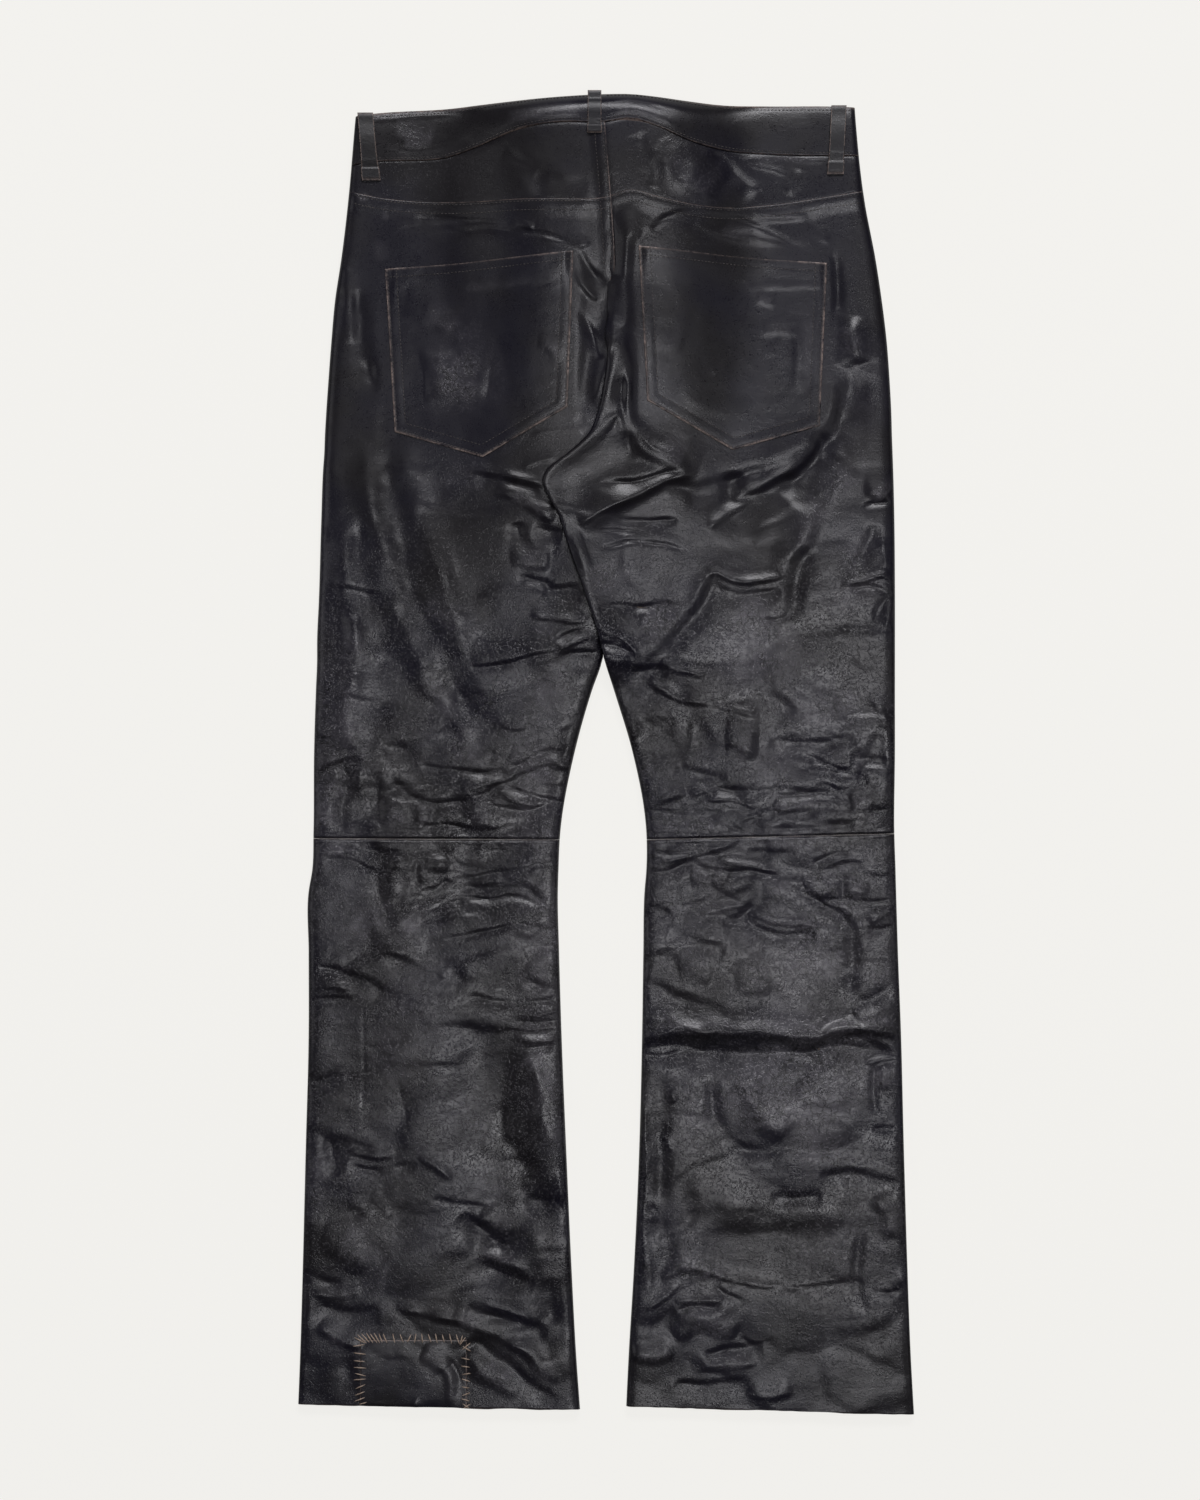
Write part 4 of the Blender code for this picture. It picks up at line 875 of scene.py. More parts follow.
def front_across(side, c, y):
    """The place x of a point c across the front at the height y, with c as on the back."""
    outer = outline(y, side + "_out")
    middle = -FRONT_SHIFT * (1 - ease(y, FORK, FORK + 150)) - INWARD[side] * MIDDLE_GAP
    inner = np.where(y < FORK, outline(np.minimum(y, FORK), side + "_in"), middle)
    inner = np.minimum(inner, middle) if side == "left" else np.maximum(inner, middle)
    b = np.minimum(3 - c, 1)
    rolled = front_rolled(y)
    near_outer = FRONT_ROUND * (1 - np.cos(QUARTER * np.minimum(c, 1)))
    near_inner = FRONT_ROUND * (rolled * (1 - np.cos(QUARTER * b)) + (1 - rolled) * b)
    widths = (FRONT_ROUND, FRONT_ROUND)
    return panel_across(side, c, (outer, inner), widths, (near_outer, near_inner))


def turned_up(c, y, rest):
    """The height of a point near the front's side seam: a quarter ellipse up to the seam."""
    seam = outline(y, "seam") - SIDE_GAP
    return seam + (rest - seam) * np.sin(QUARTER * np.minimum(c, 1))


def front_up(c, x, y):
    """The height of a point across the front: its edges turn up to the seams."""
    rest = front_rest(x, y)
    rolled = front_rolled(y)
    at_inner = (1 - rolled) * rest + rolled * turned_up(3 - c, y, rest)
    return np.where(c < 1, turned_up(c, y, rest), np.where(c > 2, at_inner, rest))


# --- Meshes ---


def settle(across, c, v, low, high):
    """Points of a panel at c across and v of the way up between its lower and upper line. The
    height and the place across depend on each other, so they are settled in turn."""
    y = low(0.0 * c) + v * (high(0.0 * c) - low(0.0 * c))
    for _ in range(5):
        x = across(c, y)
        y = low(x) + v * (high(x) - low(x))
    return across(c, y), y


def normals_of(points, facing):
    """Unit normals of a grid of points, turned to the side that faces out."""
    along_c = np.gradient(points, axis=1)
    along_r = np.gradient(points, axis=0)
    normal = np.cross(along_c, along_r)
    normal /= np.maximum(np.linalg.norm(normal, axis=-1, keepdims=True), 1e-9)
    middle = normal[normal.shape[0] // 2, normal.shape[1] // 2, 2]
    return normal * facing * np.sign(middle)


def ladder(fine, coarse):
    """Triangles between two rows of points that run side by side: each step of the fine row
    joins the nearest point of the coarse one, and each step of that the point between."""
    at = np.linspace(0, 1, len(fine))
    coarse_at = np.linspace(0, 1, len(coarse))
    owner = np.abs((at[:-1] + at[1:])[:, None] / 2 - coarse_at[None, :]).argmin(axis=1)
    fans = np.stack([fine[:-1], fine[1:], coarse[owner]], -1)
    turn = np.searchsorted(owner, np.arange(1, len(coarse)))
    fills = np.stack([coarse[1:], coarse[:-1], fine[turn]], -1)
    return np.concatenate([fans, fills])


def grid_faces(number):
    """Four-sided faces between a grid's numbered points."""
    corners = [number[:-1, :-1], number[:-1, 1:], number[1:, 1:], number[1:, :-1]]
    return np.stack(corners, -1).reshape(-1, 4)


def tube_faces(rings, around):
    """Faces of a tube of numbered rings, and the two fans that close it at its end points,
    which are numbered after the rings."""
    number = np.arange(rings * around).reshape(rings, around)
    after = np.roll(number, -1, axis=1)
    quads = np.stack([number[:-1], after[:-1], after[1:], number[1:]], -1).reshape(-1, 4)
    ends = np.full(around, rings * around)
    first = np.stack([after[0], number[0], ends], -1)
    last = np.stack([number[-1], after[-1], ends + 1], -1)
    return quads, np.concatenate([first, last])


def make_mesh(name, points, quads, triangles, slots=None, values=None, sharp=50.0):
    """A mesh object from arrays: points in millimetres, faces of four and of three points.
    Faces are turned round together if the volume that they close comes out below zero."""
    points = np.asarray(points, float) * MM
    corners = np.concatenate([quads[:, [0, 1, 2]], quads[:, [0, 2, 3]], triangles])
    a, b, c = points[corners[:, 0]], points[corners[:, 1]], points[corners[:, 2]]
    if np.einsum("ij,ij->i", a, np.cross(b, c)).sum() < 0:
        quads, triangles = quads[:, ::-1], triangles[:, ::-1]
    loops = np.concatenate([quads.ravel(), triangles.ravel()]).astype(np.int32)
    starts = np.concatenate(
        [np.arange(len(quads)) * 4, 4 * len(quads) + np.arange(len(triangles)) * 3]
    ).astype(np.int32)
    mesh = bpy.data.meshes.new(name)
    mesh.vertices.add(len(points))
    mesh.vertices.foreach_set("co", points.astype(np.float32).ravel())
    mesh.loops.add(len(loops))
    mesh.loops.foreach_set("vertex_index", loops)
    mesh.polygons.add(len(starts))
    mesh.polygons.foreach_set("loop_start", starts)
    if slots is not None:
        mesh.polygons.foreach_set("material_index", slots.astype(np.int32))
    mesh.update(calc_edges=True)
    for key, value in (values or {}).items():
        attribute = mesh.attributes.new(key, "FLOAT", "POINT")
        attribute.data.foreach_set("value", np.asarray(value, np.float32))
    mesh.shade_smooth()
    mesh.set_sharp_from_angle(angle=math.radians(sharp))
    if mesh.validate():
        raise RuntimeError(f"{name}: the mesh had faces that don't close")
    piece = bpy.data.objects.new(name, mesh)
    bpy.context.scene.collection.objects.link(piece)
    return piece


def wall(name, outer, basis, thickness, values, facing):
    """A closed wall: the outer grid, an inner grid that stands the thickness behind the
    coarser basis, and a rim of triangles between their four edges."""
    inner = basis - normals_of(basis, facing) * thickness
    number = np.arange(outer.shape[0] * outer.shape[1]).reshape(outer.shape[:2])
    under = number.size + np.arange(inner.shape[0] * inner.shape[1]).reshape(inner.shape[:2])
    rims = [
        ladder(number[0], under[0]),
        ladder(number[:, -1], under[:, -1]),
        ladder(number[-1, ::-1], under[-1, ::-1]),
        ladder(number[::-1, 0], under[::-1, 0]),
    ]
    rim = np.concatenate(rims)[:, ::-1]
    front, back = grid_faces(number), grid_faces(under)[:, ::-1]
    slots = np.concatenate([np.zeros(len(front)), np.ones(len(back)), np.zeros(len(rim))])
    points = np.concatenate([outer.reshape(-1, 3), inner.reshape(-1, 3)])
    full = {
        key: np.concatenate([value.ravel(), np.full(under.size, 1.0 if key == "raw" else 0.0)])
        for key, value in values.items()
    }
    return make_mesh(name, points, np.concatenate([front, back]), rim, slots, full)


def spread(length, step, near_start=0.0, near_end=0.0):
    """Places from 0 to 1 about a step apart, with finer ones close to an end where they are
    asked for."""
    start = EDGE_BAND if near_start else 0.0
    end = EDGE_BAND if near_end else 0.0
    count = max(2, int((length - start - end) / step)) + 1
    parts = [np.linspace(start, length - end, count)]
    if near_start:
        parts.insert(0, np.linspace(0, start, int(start / near_start) + 1)[:-1])
    if near_end:
        parts.append(np.linspace(length - end, length, int(end / near_end) + 1)[1:])
    return np.concatenate(parts) / length


def places(step, inner_fine=0.0):
    """Places across a back panel, from the side seam to the inner edge."""
    side = np.linspace(0, 1, max(5, int(24 / step)), endpoint=False)
    flat = 1 + spread(200, step)[:-1]
    inner = 2 + spread(16, step, 0.0, inner_fine)
    return np.concatenate([side, flat, inner])


def stitch_points(path, pitch, length, seed, wobble):
    """Starts and ends of stitches along a path, in plan: one every pitch, each turned a little
    by its own draw."""
    path = np.asarray(path, float)
    run = np.concatenate([[0], np.cumsum(np.linalg.norm(np.diff(path, axis=0), axis=1))])
    count = max(1, int(run[-1] / pitch))
    middle = (np.arange(count) + 0.5) * run[-1] / count
    along = lambda at: np.stack([np.interp(at, run, path[:, k]) for k in (0, 1)], -1)
    at = along(middle)
    way = along(middle + 0.5) - along(middle - 0.5)
    way /= np.linalg.norm(way, axis=1, keepdims=True)
    draw = np.random.default_rng(seed).uniform(-1, 1, (count, 3))
    sine, cosine = np.sin(wobble * draw[:, 0]), np.cos(wobble * draw[:, 0])
    across, up = way.T
    turned = np.stack([across * cosine - up * sine, across * sine + up * cosine], -1)
    half = turned * (length * (1 + 0.15 * draw[:, 1]) / 2)[:, None]
    return at - half, at + half


def thread(name, start, end, up, material, radius, bow, sink, rings, around):
    """Stitches joined in one mesh. Each runs from its start to its end on the line
    start + (end - start) t + up (bow sin(pi t) - sink), with a round section whose radius
    grows and shrinks as the root of sin(pi t)."""
    count = len(start)
    t = np.linspace(0.06, 0.94, rings)
    axis = end - start
    along = axis / np.linalg.norm(axis, axis=1, keepdims=True)
    side = np.cross(along, up)
    side /= np.linalg.norm(side, axis=1, keepdims=True)
    above = np.cross(side, along)
    centre = start[:, None] + axis[:, None] * t[None, :, None]
    centre = centre + up[:, None] * (bow * np.sin(math.pi * t) - sink)[None, :, None]
    angle = np.arange(around) * 2 * math.pi / around
    size = radius * np.sqrt(np.sin(math.pi * t))
    ring = side[:, None, None] * np.cos(angle)[None, None, :, None]
    ring = ring + above[:, None, None] * np.sin(angle)[None, None, :, None]
    body = centre[:, :, None] + ring * size[None, :, None, None]
    tips = np.stack([start - up * sink, end - up * sink], 1)
    points = np.concatenate([body.reshape(count, -1, 3), tips], 1)
    offset = (np.arange(count) * (rings * around + 2))[:, None, None]
    faces = [(part[None] + offset).reshape(-1, part.shape[1]) for part in tube_faces(rings, around)]
    piece = make_mesh(name, points.reshape(-1, 3), *faces, sharp=80.0)
    piece.data.materials.append(finishes()[material])
    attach(piece, "root")
    return piece


# --- Materials ---


class Nodes:
    """Adds nodes to a tree and joins them."""

    def __init__(self, tree):
        self.tree = tree

    def add(self, kind, settings=None, **inputs):
        """A node with its settings, and its inputs by name, or as i0, i1 and on by number."""
        node = self.tree.nodes.new("ShaderNode" + kind)
        for key, value in (settings or {}).items():
            setattr(node, key, value)
        for key, value in inputs.items():
            numbered = key[0] == "i" and key[1:].isdigit()
            self.put(node.inputs[int(key[1:]) if numbered else key], value)
        return node

    def put(self, target, value):
        """Joins an input to another node's output, or sets its value."""
        if isinstance(value, bpy.types.NodeSocket):
            self.tree.links.new(value, target)
        else:
            target.default_value = value

    def math(self, operation, a, b=0.0, clamp=False):
        settings = {"operation": operation, "use_clamp": clamp}
        return self.add("Math", settings, i0=a, i1=b).outputs[0]

    def plus(self, a, b, clamp=False):
        return self.math("ADD", a, b, clamp)

    def times(self, a, b, clamp=False):
        return self.math("MULTIPLY", a, b, clamp)

    def vector(self, operation, a, **inputs):
        return self.add("VectorMath", {"operation": operation}, i0=a, **inputs).outputs[0]

    def mix(self, share, a, b):
        return self.add("Mix", {"data_type": "RGBA"}, i0=share, i6=a, i7=b).outputs[2]

    def ramp(self, value, low, high):
        settings = {"interpolation_type": "SMOOTHSTEP"}
        return self.add("MapRange", settings, i0=value, i1=low, i2=high).outputs[0]

    def noise(self, place, scale, detail=2.0, rough=0.5, output="Fac"):
        inputs = {"Vector": place, "Scale": scale, "Detail": detail, "Roughness": rough}
        return self.add("TexNoise", **inputs).outputs[output]

    def cells(self, feature, place, scale):
        inputs = {"Vector": place, "Scale": scale}
        return self.add("TexVoronoi", {"feature": feature}, **inputs).outputs["Distance"]

    def attribute(self, name):
        return self.add("Attribute", {"attribute_name": name}).outputs["Fac"]

    def bump(self, depth, height):
        return self.add("Bump", Strength=1.0, Distance=depth, Height=height).outputs[0]


# The crackle: the scale and width of its lines, and the scale of the places that it covers.
CRACKLE = ((120.0, 0.07, 30.0), (230.0, 0.09, 45.0))
# The longer breaks: scale, width and strength.
BREAKS = ((42.0, 0.007, 1.0), (95.0, 0.011, 0.9), (160.0, 0.016, 0.7))
CRACK_DEPTH = 0.28
GRAIN_DEPTH = 0.0002


def grain_group():
    """Node group: the grain of leather as a height, the tops of its pebbles, and the fine
    cracks and breaks in it. The breaks are the places where a soft field crosses its middle
    value."""
    group = bpy.data.node_groups.get("leather grain")
    if group:
        return group
    group = bpy.data.node_groups.new("leather grain", "ShaderNodeTree")
    for way, kind, names in (
        ("INPUT", "NodeSocketVector", ("Place",)),
        ("INPUT", "NodeSocketFloat", ("Coarse", "Crackle", "Breaks")),
        ("OUTPUT", "NodeSocketFloat", ("Height", "Tops", "Cracks")),
    ):
        for name in names:
            group.interface.new_socket(name, in_out=way, socket_type=kind)
    n = Nodes(group)
    enter = group.nodes.new("NodeGroupInput")
    leave = group.nodes.new("NodeGroupOutput")
    place = enter.outputs["Place"]
    shift = n.vector("SCALE", n.noise(place, 90.0, 3.0, 0.6, "Color"), Scale=0.014)
    moved = n.vector("ADD", place, i1=shift)
    longer = n.vector("MULTIPLY", moved, i1=(0.6, 1.4, 1.0))
    fine = n.noise(place, 800.0, 2.0, 0.6)
    tops = n.times(n.ramp(n.cells("F1", moved, 480.0), 0.6, 0.15), n.ramp(fine, 0.36, 0.6))
    crackle = 0.0
    for scale, width, where in CRACKLE:
        line = n.ramp(n.cells("DISTANCE_TO_EDGE", moved, scale), width, 0.0)
        seen = n.ramp(n.noise(place, where, 3.0), 0.42, 0.6)
        crackle = n.plus(crackle, n.times(line, seen))
    breaks = 0.0
    for scale, width, strength in BREAKS:
        field = n.math("SUBTRACT", n.noise(longer, scale, 2.0, 0.45), 0.5)
        line = n.ramp(n.math("ABSOLUTE", field), width, 0.0)
        seen = n.ramp(n.noise(place, scale * 0.62, 2.0), 0.46, 0.6)
        breaks = n.plus(breaks, n.times(n.times(line, seen), strength))
    crackle = n.times(crackle, enter.outputs["Crackle"])
    cracks = n.plus(crackle, n.times(breaks, enter.outputs["Breaks"]), clamp=True)
    puffy = n.times(n.noise(longer, 110.0, 4.0, 0.6), 0.9)
    pebbles = n.times(tops, n.plus(n.times(enter.outputs["Coarse"], 0.45), 0.08))
    height = n.plus(n.plus(puffy, pebbles), n.times(fine, 0.15))
    n.put(leave.inputs["Height"], n.math("SUBTRACT", height, n.times(cracks, CRACK_DEPTH)))
    n.put(leave.inputs["Tops"], tops)
    n.put(leave.inputs["Cracks"], cracks)
    return group


CRACK_COLOUR = (0.003, 0.003, 0.0035, 1)
STRAP_COLOUR = (0.005, 0.005, 0.006, 1)
STRAP_ROUGHNESS = 0.37
# The other finishes: name, two tones, roughness, scale of the mottling and depth of the bump.
FLESH_SIDE = (
    "leather_flesh_side", (0.09, 0.07, 0.06, 1), (0.05, 0.04, 0.036, 1), 0.85, 260.0, 0.0003,
)
BLACK_THREAD = (
    "black_thread", (0.13, 0.115, 0.11, 1), (0.03, 0.028, 0.028, 1), 0.6, 160.0, 0.0001,
)
TAN_SHADE = (0.34, 0.25, 0.19, 1)
BUTTON = ("worn_button_metal", (0.42, 0.4, 0.38, 1), (0.2, 0.18, 0.16, 1), 0.4, 200.0, 0.00005)


def leather(name, dark, rub_and_sheen, raw, roughness):
    """Black leather: dark finish, greyer where it is rubbed and where sheen and highlights are
    painted in, raw at its cut edges.
    """
    made = bpy.data.materials.get(name)
    if made:
        return made
    made = bpy.data.materials.new(name)
    made.use_nodes = True
    n = Nodes(made.node_tree)
    shader = made.node_tree.nodes["Principled BSDF"]
    place = n.add("TexCoord").outputs["Object"]
    wear, edge, used = (n.attribute(key) for key in ("wear", "raw", "used"))
    grain = n.add(
        "Group",
        {"node_tree": grain_group()},
        Place=place,
        Coarse=n.plus(used, wear, clamp=True),
        Crackle=n.plus(n.times(wear, 1.5), n.times(used, 0.5)),
        Breaks=n.times(used, 0.75),
    )
    tops, cracks = grain.outputs["Tops"], grain.outputs["Cracks"]
    mottle = n.noise(place, 26.0, 5.0, 0.62)
    brown = (dark[0] * 1.08, dark[1] * 0.93, dark[2] * 0.95, 1.0)
    blue = (dark[0] * 0.98, dark[1] * 0.88, dark[2] * 1.45, 1.0)
    base = n.mix(n.ramp(n.noise(place, 9.0, 3.0, 0.55), 0.38, 0.62), brown, blue)
    greyed = n.plus(n.times(n.ramp(mottle, 0.4, 0.72), 0.08), n.times(used, 0.27))
    base = n.mix(n.times(greyed, tops), base, rub_and_sheen)
    # The wear mask greys the finish: rubbed wear, and painted sheen and highlights.
    worn = n.times(wear, n.plus(n.times(tops, 0.9), 0.4), clamp=True)
    base = n.mix(worn, base, rub_and_sheen)
    base = n.mix(n.times(cracks, 0.75), base, CRACK_COLOUR)
    ragged = n.ramp(n.noise(place, 480.0, 2.0, 0.65), 0.25, 0.6)
    base = n.mix(n.times(edge, ragged, clamp=True), base, raw)
    n.put(shader.inputs["Base Color"], base)
    rough = n.plus(n.plus(roughness, n.times(used, -0.05)), n.times(edge, 0.2))
    rough = n.plus(rough, n.times(n.math("SUBTRACT", mottle, 0.5), 0.16))
    rough = n.plus(rough, n.times(n.math("SUBTRACT", 0.3, tops), 0.1))
    n.put(shader.inputs["Roughness"], rough)
    n.put(shader.inputs["Normal"], n.bump(GRAIN_DEPTH, grain.outputs["Height"]))
    shader.inputs["IOR"].default_value = 1.5
    return made


def plain(name, colour, other, roughness, scale, depth, metallic=0.0):
    """A mottled finish: two tones blended by noise, with a fine bump."""
    made = bpy.data.materials.get(name)
    if made:
        return made
    made = bpy.data.materials.new(name)
    made.use_nodes = True
    n = Nodes(made.node_tree)
    shader = made.node_tree.nodes["Principled BSDF"]
    place = n.add("TexCoord").outputs["Object"]
    mottle = n.noise(place, scale, 4.0, 0.65)
    n.put(shader.inputs["Base Color"], n.mix(n.ramp(mottle, 0.3, 0.7), colour, other))
    n.put(shader.inputs["Roughness"], n.plus(roughness - 0.08, n.times(mottle, 0.16)))
    n.put(shader.inputs["Normal"], n.bump(depth, n.noise(place, scale * 6, 2.0)))
    shader.inputs["Metallic"].default_value = metallic
    return made


def finishes():
    """The materials by name, in the colours of the settings."""
    s = bpy.context.scene.trousers_finish
    dark, rub_and_sheen, raw, tan = (tuple(v) + (1.0,) for v in (s.dark, s.rub_and_sheen, s.raw, s.thread))
    return {
        "black leather": leather("black_leather", dark, rub_and_sheen, raw, s.roughness),
        "strap leather": leather(
            "black_strap_leather", STRAP_COLOUR, rub_and_sheen, raw, STRAP_ROUGHNESS
        ),
        "flesh side": plain(*FLESH_SIDE),
        "black thread": plain(*BLACK_THREAD),
        "tan thread": plain("waxed_tan_thread", tan, TAN_SHADE, 0.6, 500.0, 0.0001),
        "button": plain(*BUTTON, metallic=1.0),
    }


def dress(piece, node, *names, slot="leather"):
    """Gives a piece its materials and its body, and hides the part of the frame that it stands for.
    The slot is not used.
    """
    made = finishes()
    for name in names:
        piece.data.materials.append(made[name])
    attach(piece, "root")
    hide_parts(node)


def leather_wall(node, name, shapes, thickness, values, facing=1):
    """A piece of leather: the outer face, and the coarser shape that its inside follows."""
    piece = wall(name, *shapes, thickness, values, facing)
    dress(piece, node, "black leather", "flesh side")


# --- Panels ---


def rub_and_sheen(x, y, rows):
    """How rubbed the leather is, and how much sheen and highlight is painted on it: the patches of
    the table, broken up by noise.
    """
    wx, wy = wandered(x, y)
    worn = WEAR_AND_SHEEN_GAIN * strokes(rows, wx, wy)
    broken = 0.9 + 0.4 * noise(x, y, 14, 41) + 0.3 * noise(x, y, 5, 42)
    return np.clip(worn * broken, 0, 1)


def used(x, y):
    """How creased by use the leather is: most round the knees, less at the hems and the seat."""
    worked = 0.1 + 0.9 * ease(250 - y, 0, 200) - 0.55 * ease(-y, 370, 520)
    return np.clip(worked + 0.3 * noise(x, y, 60, 33), 0, 1)


def raw_line(gap, x, y, width=0.6):
    """How raw a cut edge is: a hump at the edge, broken by noise along it."""
    broken = 0.6 + 0.4 * noise(x, y, 11, 51) + 0.35 * noise(x, y, 3.5, 52)
    return bump(np.maximum(gap, 0), 0, width) * np.clip(broken, 0, 1)


def back_panel(part, side, lines, lift, edges, length, edge_step=0.0, inner_step=0.0):
    """One panel of the back, between its lower and its upper line. Its edges are pairs: how far
    inside the edge a place lies, and how raw the edge is."""
    shapes = []
    for step, fine in ((STEP, 1), (BACKING_STEP, 0)):
        up = spread(length, step, fine * edge_step, fine * edge_step)
        c, v = np.meshgrid(places(step, fine * inner_step), up)
        x, y = settle(partial(back_across, side), c, v, *lines)
        shapes.append(np.stack([x, y, back_up(side, c, x, y, lift)], -1))
    x, y = shapes[0][..., 0], shapes[0][..., 1]
    raw = np.clip(0 * x + sum(raw_line(gap, x, y) * share for gap, share in edges(x, y)), 0, 1)
    # The wear mask: rubbed wear and painted sheen and highlights.
    values = {"wear": rub_and_sheen(x, y, WEAR_AND_SHEEN), "raw": raw, "used": used(x, y)}
    leather_wall(f"back_{part}_{side}", f"{part}_back_{side}", shapes, WALL, values)


def build_back_panels():
    """Thigh, yoke and shin of each side."""
    band, yoke = (partial(waist, name=name) for name in ("band", "yoke"))
    for side in SIDES:
        knee, hem = (partial(leg_line, ends, side) for ends in (KNEE, HEM))
        inner_step = SEAT_EDGE_STEP if side == "left" else 0.0

        def seat_edge(x, y):
            return [(outline(y, "left_in") - x, ease(y, *RAW_EDGE))] if side == "left" else []

        def thigh_edges(x, y):
            return [(yoke(x) - y, 0.4), (y - knee(x), 0.3), *seat_edge(x, y)]

        def shin_edges(x, y):
            return [(knee(x) - y, 0.3), (y - hem(x), 0.4)]

        def ragged(x):
            return hem(x) + 0.5 * noise(x, 0 * x, 26, 61) + 0.25 * noise(x, 0 * x, 7, 62)

        lines = (lambda x: knee(x) + SEAM_GAP, yoke)
        back_panel("thigh", side, lines, thigh_lift, thigh_edges, 532, EDGE_STEP, inner_step)
        lines = (lambda x: yoke(x) - 9, lambda x: band(x) + 7)
        back_panel("yoke", side, lines, yoke_lift, seat_edge, 66, 0.0, inner_step)
        lines = (ragged, lambda x: knee(x) - SEAM_GAP)
        back_panel("shin", side, lines, shin_lift, shin_edges, 472, EDGE_STEP)


def band_across(side, c, y):
    """The place x across one half of the waistband, which ends at the middle line."""
    inward = INWARD[side]
    outer = outline(y, side + "_out")
    fold = outline(y, "fold")
    m = np.clip((c - 1) / 2, 0, 1)
    flat = (outer + inward * fold) * (1 - m) + outline(y, "left_in") * m
    turned = 1 - np.abs(np.cos(QUARTER * np.minimum(c, 1))) ** SQUARE
    return np.where(c < 1, outer + inward * fold * turned, flat)


def build_back_band():
    """The back waistband, one piece from side seam to side seam, turned down at its top."""
    low, high = (partial(waist, name=name) for name in ("band", "top"))
    deep = 44.0
    fine = np.concatenate([[0.0, 0.4, 0.9, 1.5], np.linspace(2.4, deep, 31)]) / deep
    shapes = []
    for step, up in ((STEP, fine), (BACKING_STEP, np.linspace(0, 1, 9))):
        halves = []
        share = np.sin(up * BAND_TURN) / math.sin(BAND_TURN) * 0.5 + up * 0.5
        for side in SIDES:
            c, v = np.meshgrid(places(step), share)
            x, y = settle(partial(band_across, side), c, v, low, high)
            z = back_up(side, c, x, y, band_lift)
            z = np.where(c > 2, back_height(side, x, y, band_lift), z)
            halves.append(np.stack([x, y, z], -1))
        shapes.append(np.concatenate([halves[0], halves[1][:, ::-1][:, 1:]], axis=1))
    x, y = shapes[0][..., 0], shapes[0][..., 1]
    raw = raw_line(y - low(x), x, y) * 0.5 + 0.8 * raw_line(high(x) - y, x, y, 1.3)
    # The wear mask: rubbed wear and painted highlights near the band's top.
    values = {"wear": rub_and_sheen(x, y, BAND_WEAR_AND_SHEEN), "raw": np.clip(raw, 0, 1)}
    leather_wall("waistband_back", "waistband_outside_back", shapes, BAND_WALL, values)


# --- Pieces laid on the back ---


def pocket_plan(corners, s, t):
    """Places of a pocket: s across from its left side, t up from its pointed foot."""
    left_top, right_top, right_low, tip, left_low = np.array(corners, float)
    s = s[..., None]
    t = t[..., None]
    top = left_top * (1 - s) + right_top * s
    top = top - np.array([0.0, MOUTH_SAG]) * np.sin(math.pi * s)
    share = (tip[0] - left_low[0]) / (right_low[0] - left_low[0])
    foot = np.where(
        s < share,
        left_low + (tip - left_low) * s / share,
        tip + (right_low - tip) * (s - share) / (1 - share),
    )
    return foot * (1 - t) + top * t


def edge_gap(corners, x, y):
    """Distance inside the nearest side of a pocket, its mouth left out, and inside its mouth."""
    points = np.array(corners, float)
    gaps = []
    for a, b in zip(points, np.roll(points, -1, axis=0)):
        way = (b - a) / np.linalg.norm(b - a)
        gaps.append(np.abs((x - a[0]) * way[1] - (y - a[1]) * way[0]))
    return np.minimum.reduce(gaps[1:]), gaps[0]


def pocket_height(side, corners, x, y):
    """The pocket's outer face: the panel under it, the wall's thickness, its own creases, and
    a mouth that gapes a little."""
    gap, mouth = edge_gap(corners, x, y)
    wx, wy = wandered(x, y)
    base = on_back(side, x, y, thigh_lift) + POCKET_GAP + WALL
    own = strokes(POCKET_CREASES, wx, wy) + 0.18 * noise(x, y, 26, 71) + 0.08 * noise(x, y, 9, 72)
    inside = ease(gap, 1.0, 8.0)
    gape = (1.6 if side == "left" else 0.7) * (1 - ease(mouth, 0, 34)) * inside
    dents = stitched(gap, *POCKET_ROWS) + stitched(mouth, MOUTH_ROW) * ease(gap, 0, 2)
    swell = 0.07 * bump(gap, 5.6, 2.6)
    return base + gape + own * inside + swell - dents - rounded(gap) - rounded(mouth)


def build_pockets():
    """The back pockets: straight sides, and a foot that comes down to a point."""
    for side, corners in POCKETS.items():
        shapes = []
        for step, fine in DETAIL:
            s, t = np.meshgrid(spread(152, step, fine, fine), spread(140, step, fine, fine))
            place = pocket_plan(corners, s, t)
            z = pocket_height(side, corners, place[..., 0], place[..., 1])
            shapes.append(np.concatenate([place, z[..., None]], -1))
        x, y = shapes[0][..., 0], shapes[0][..., 1]
        raw = sum(raw_line(gap, x, y, 1.25) for gap in edge_gap(corners, x, y))
        # The wear mask: rubbed wear and painted sheen and highlights.
        values = {"wear": rub_and_sheen(x, y, POCKET_WEAR_AND_SHEEN), "raw": np.clip(raw, 0, 1)}
        leather_wall(f"back_pocket_{side}", f"pocket_{side}", shapes, WALL, values)


def patch_gap(x, y):
    """Distance inside the nearest sewn side of the mending patch."""
    left, right, top = PATCH
    return np.minimum(np.minimum(x - left, right - x), top - y)


def patch_height(x, y):
    """The mending patch's outer face over the hem."""
    gap = patch_gap(x, y)
    base = on_back("left", x, y, shin_lift) + PATCH_GAP + PATCH_WALL
    own = strokes(PATCH_CREASES, *wandered(x, y))
    return base + own * ease(gap, 0, 5) - rounded(np.maximum(gap, 0), 1.0, 0.6)


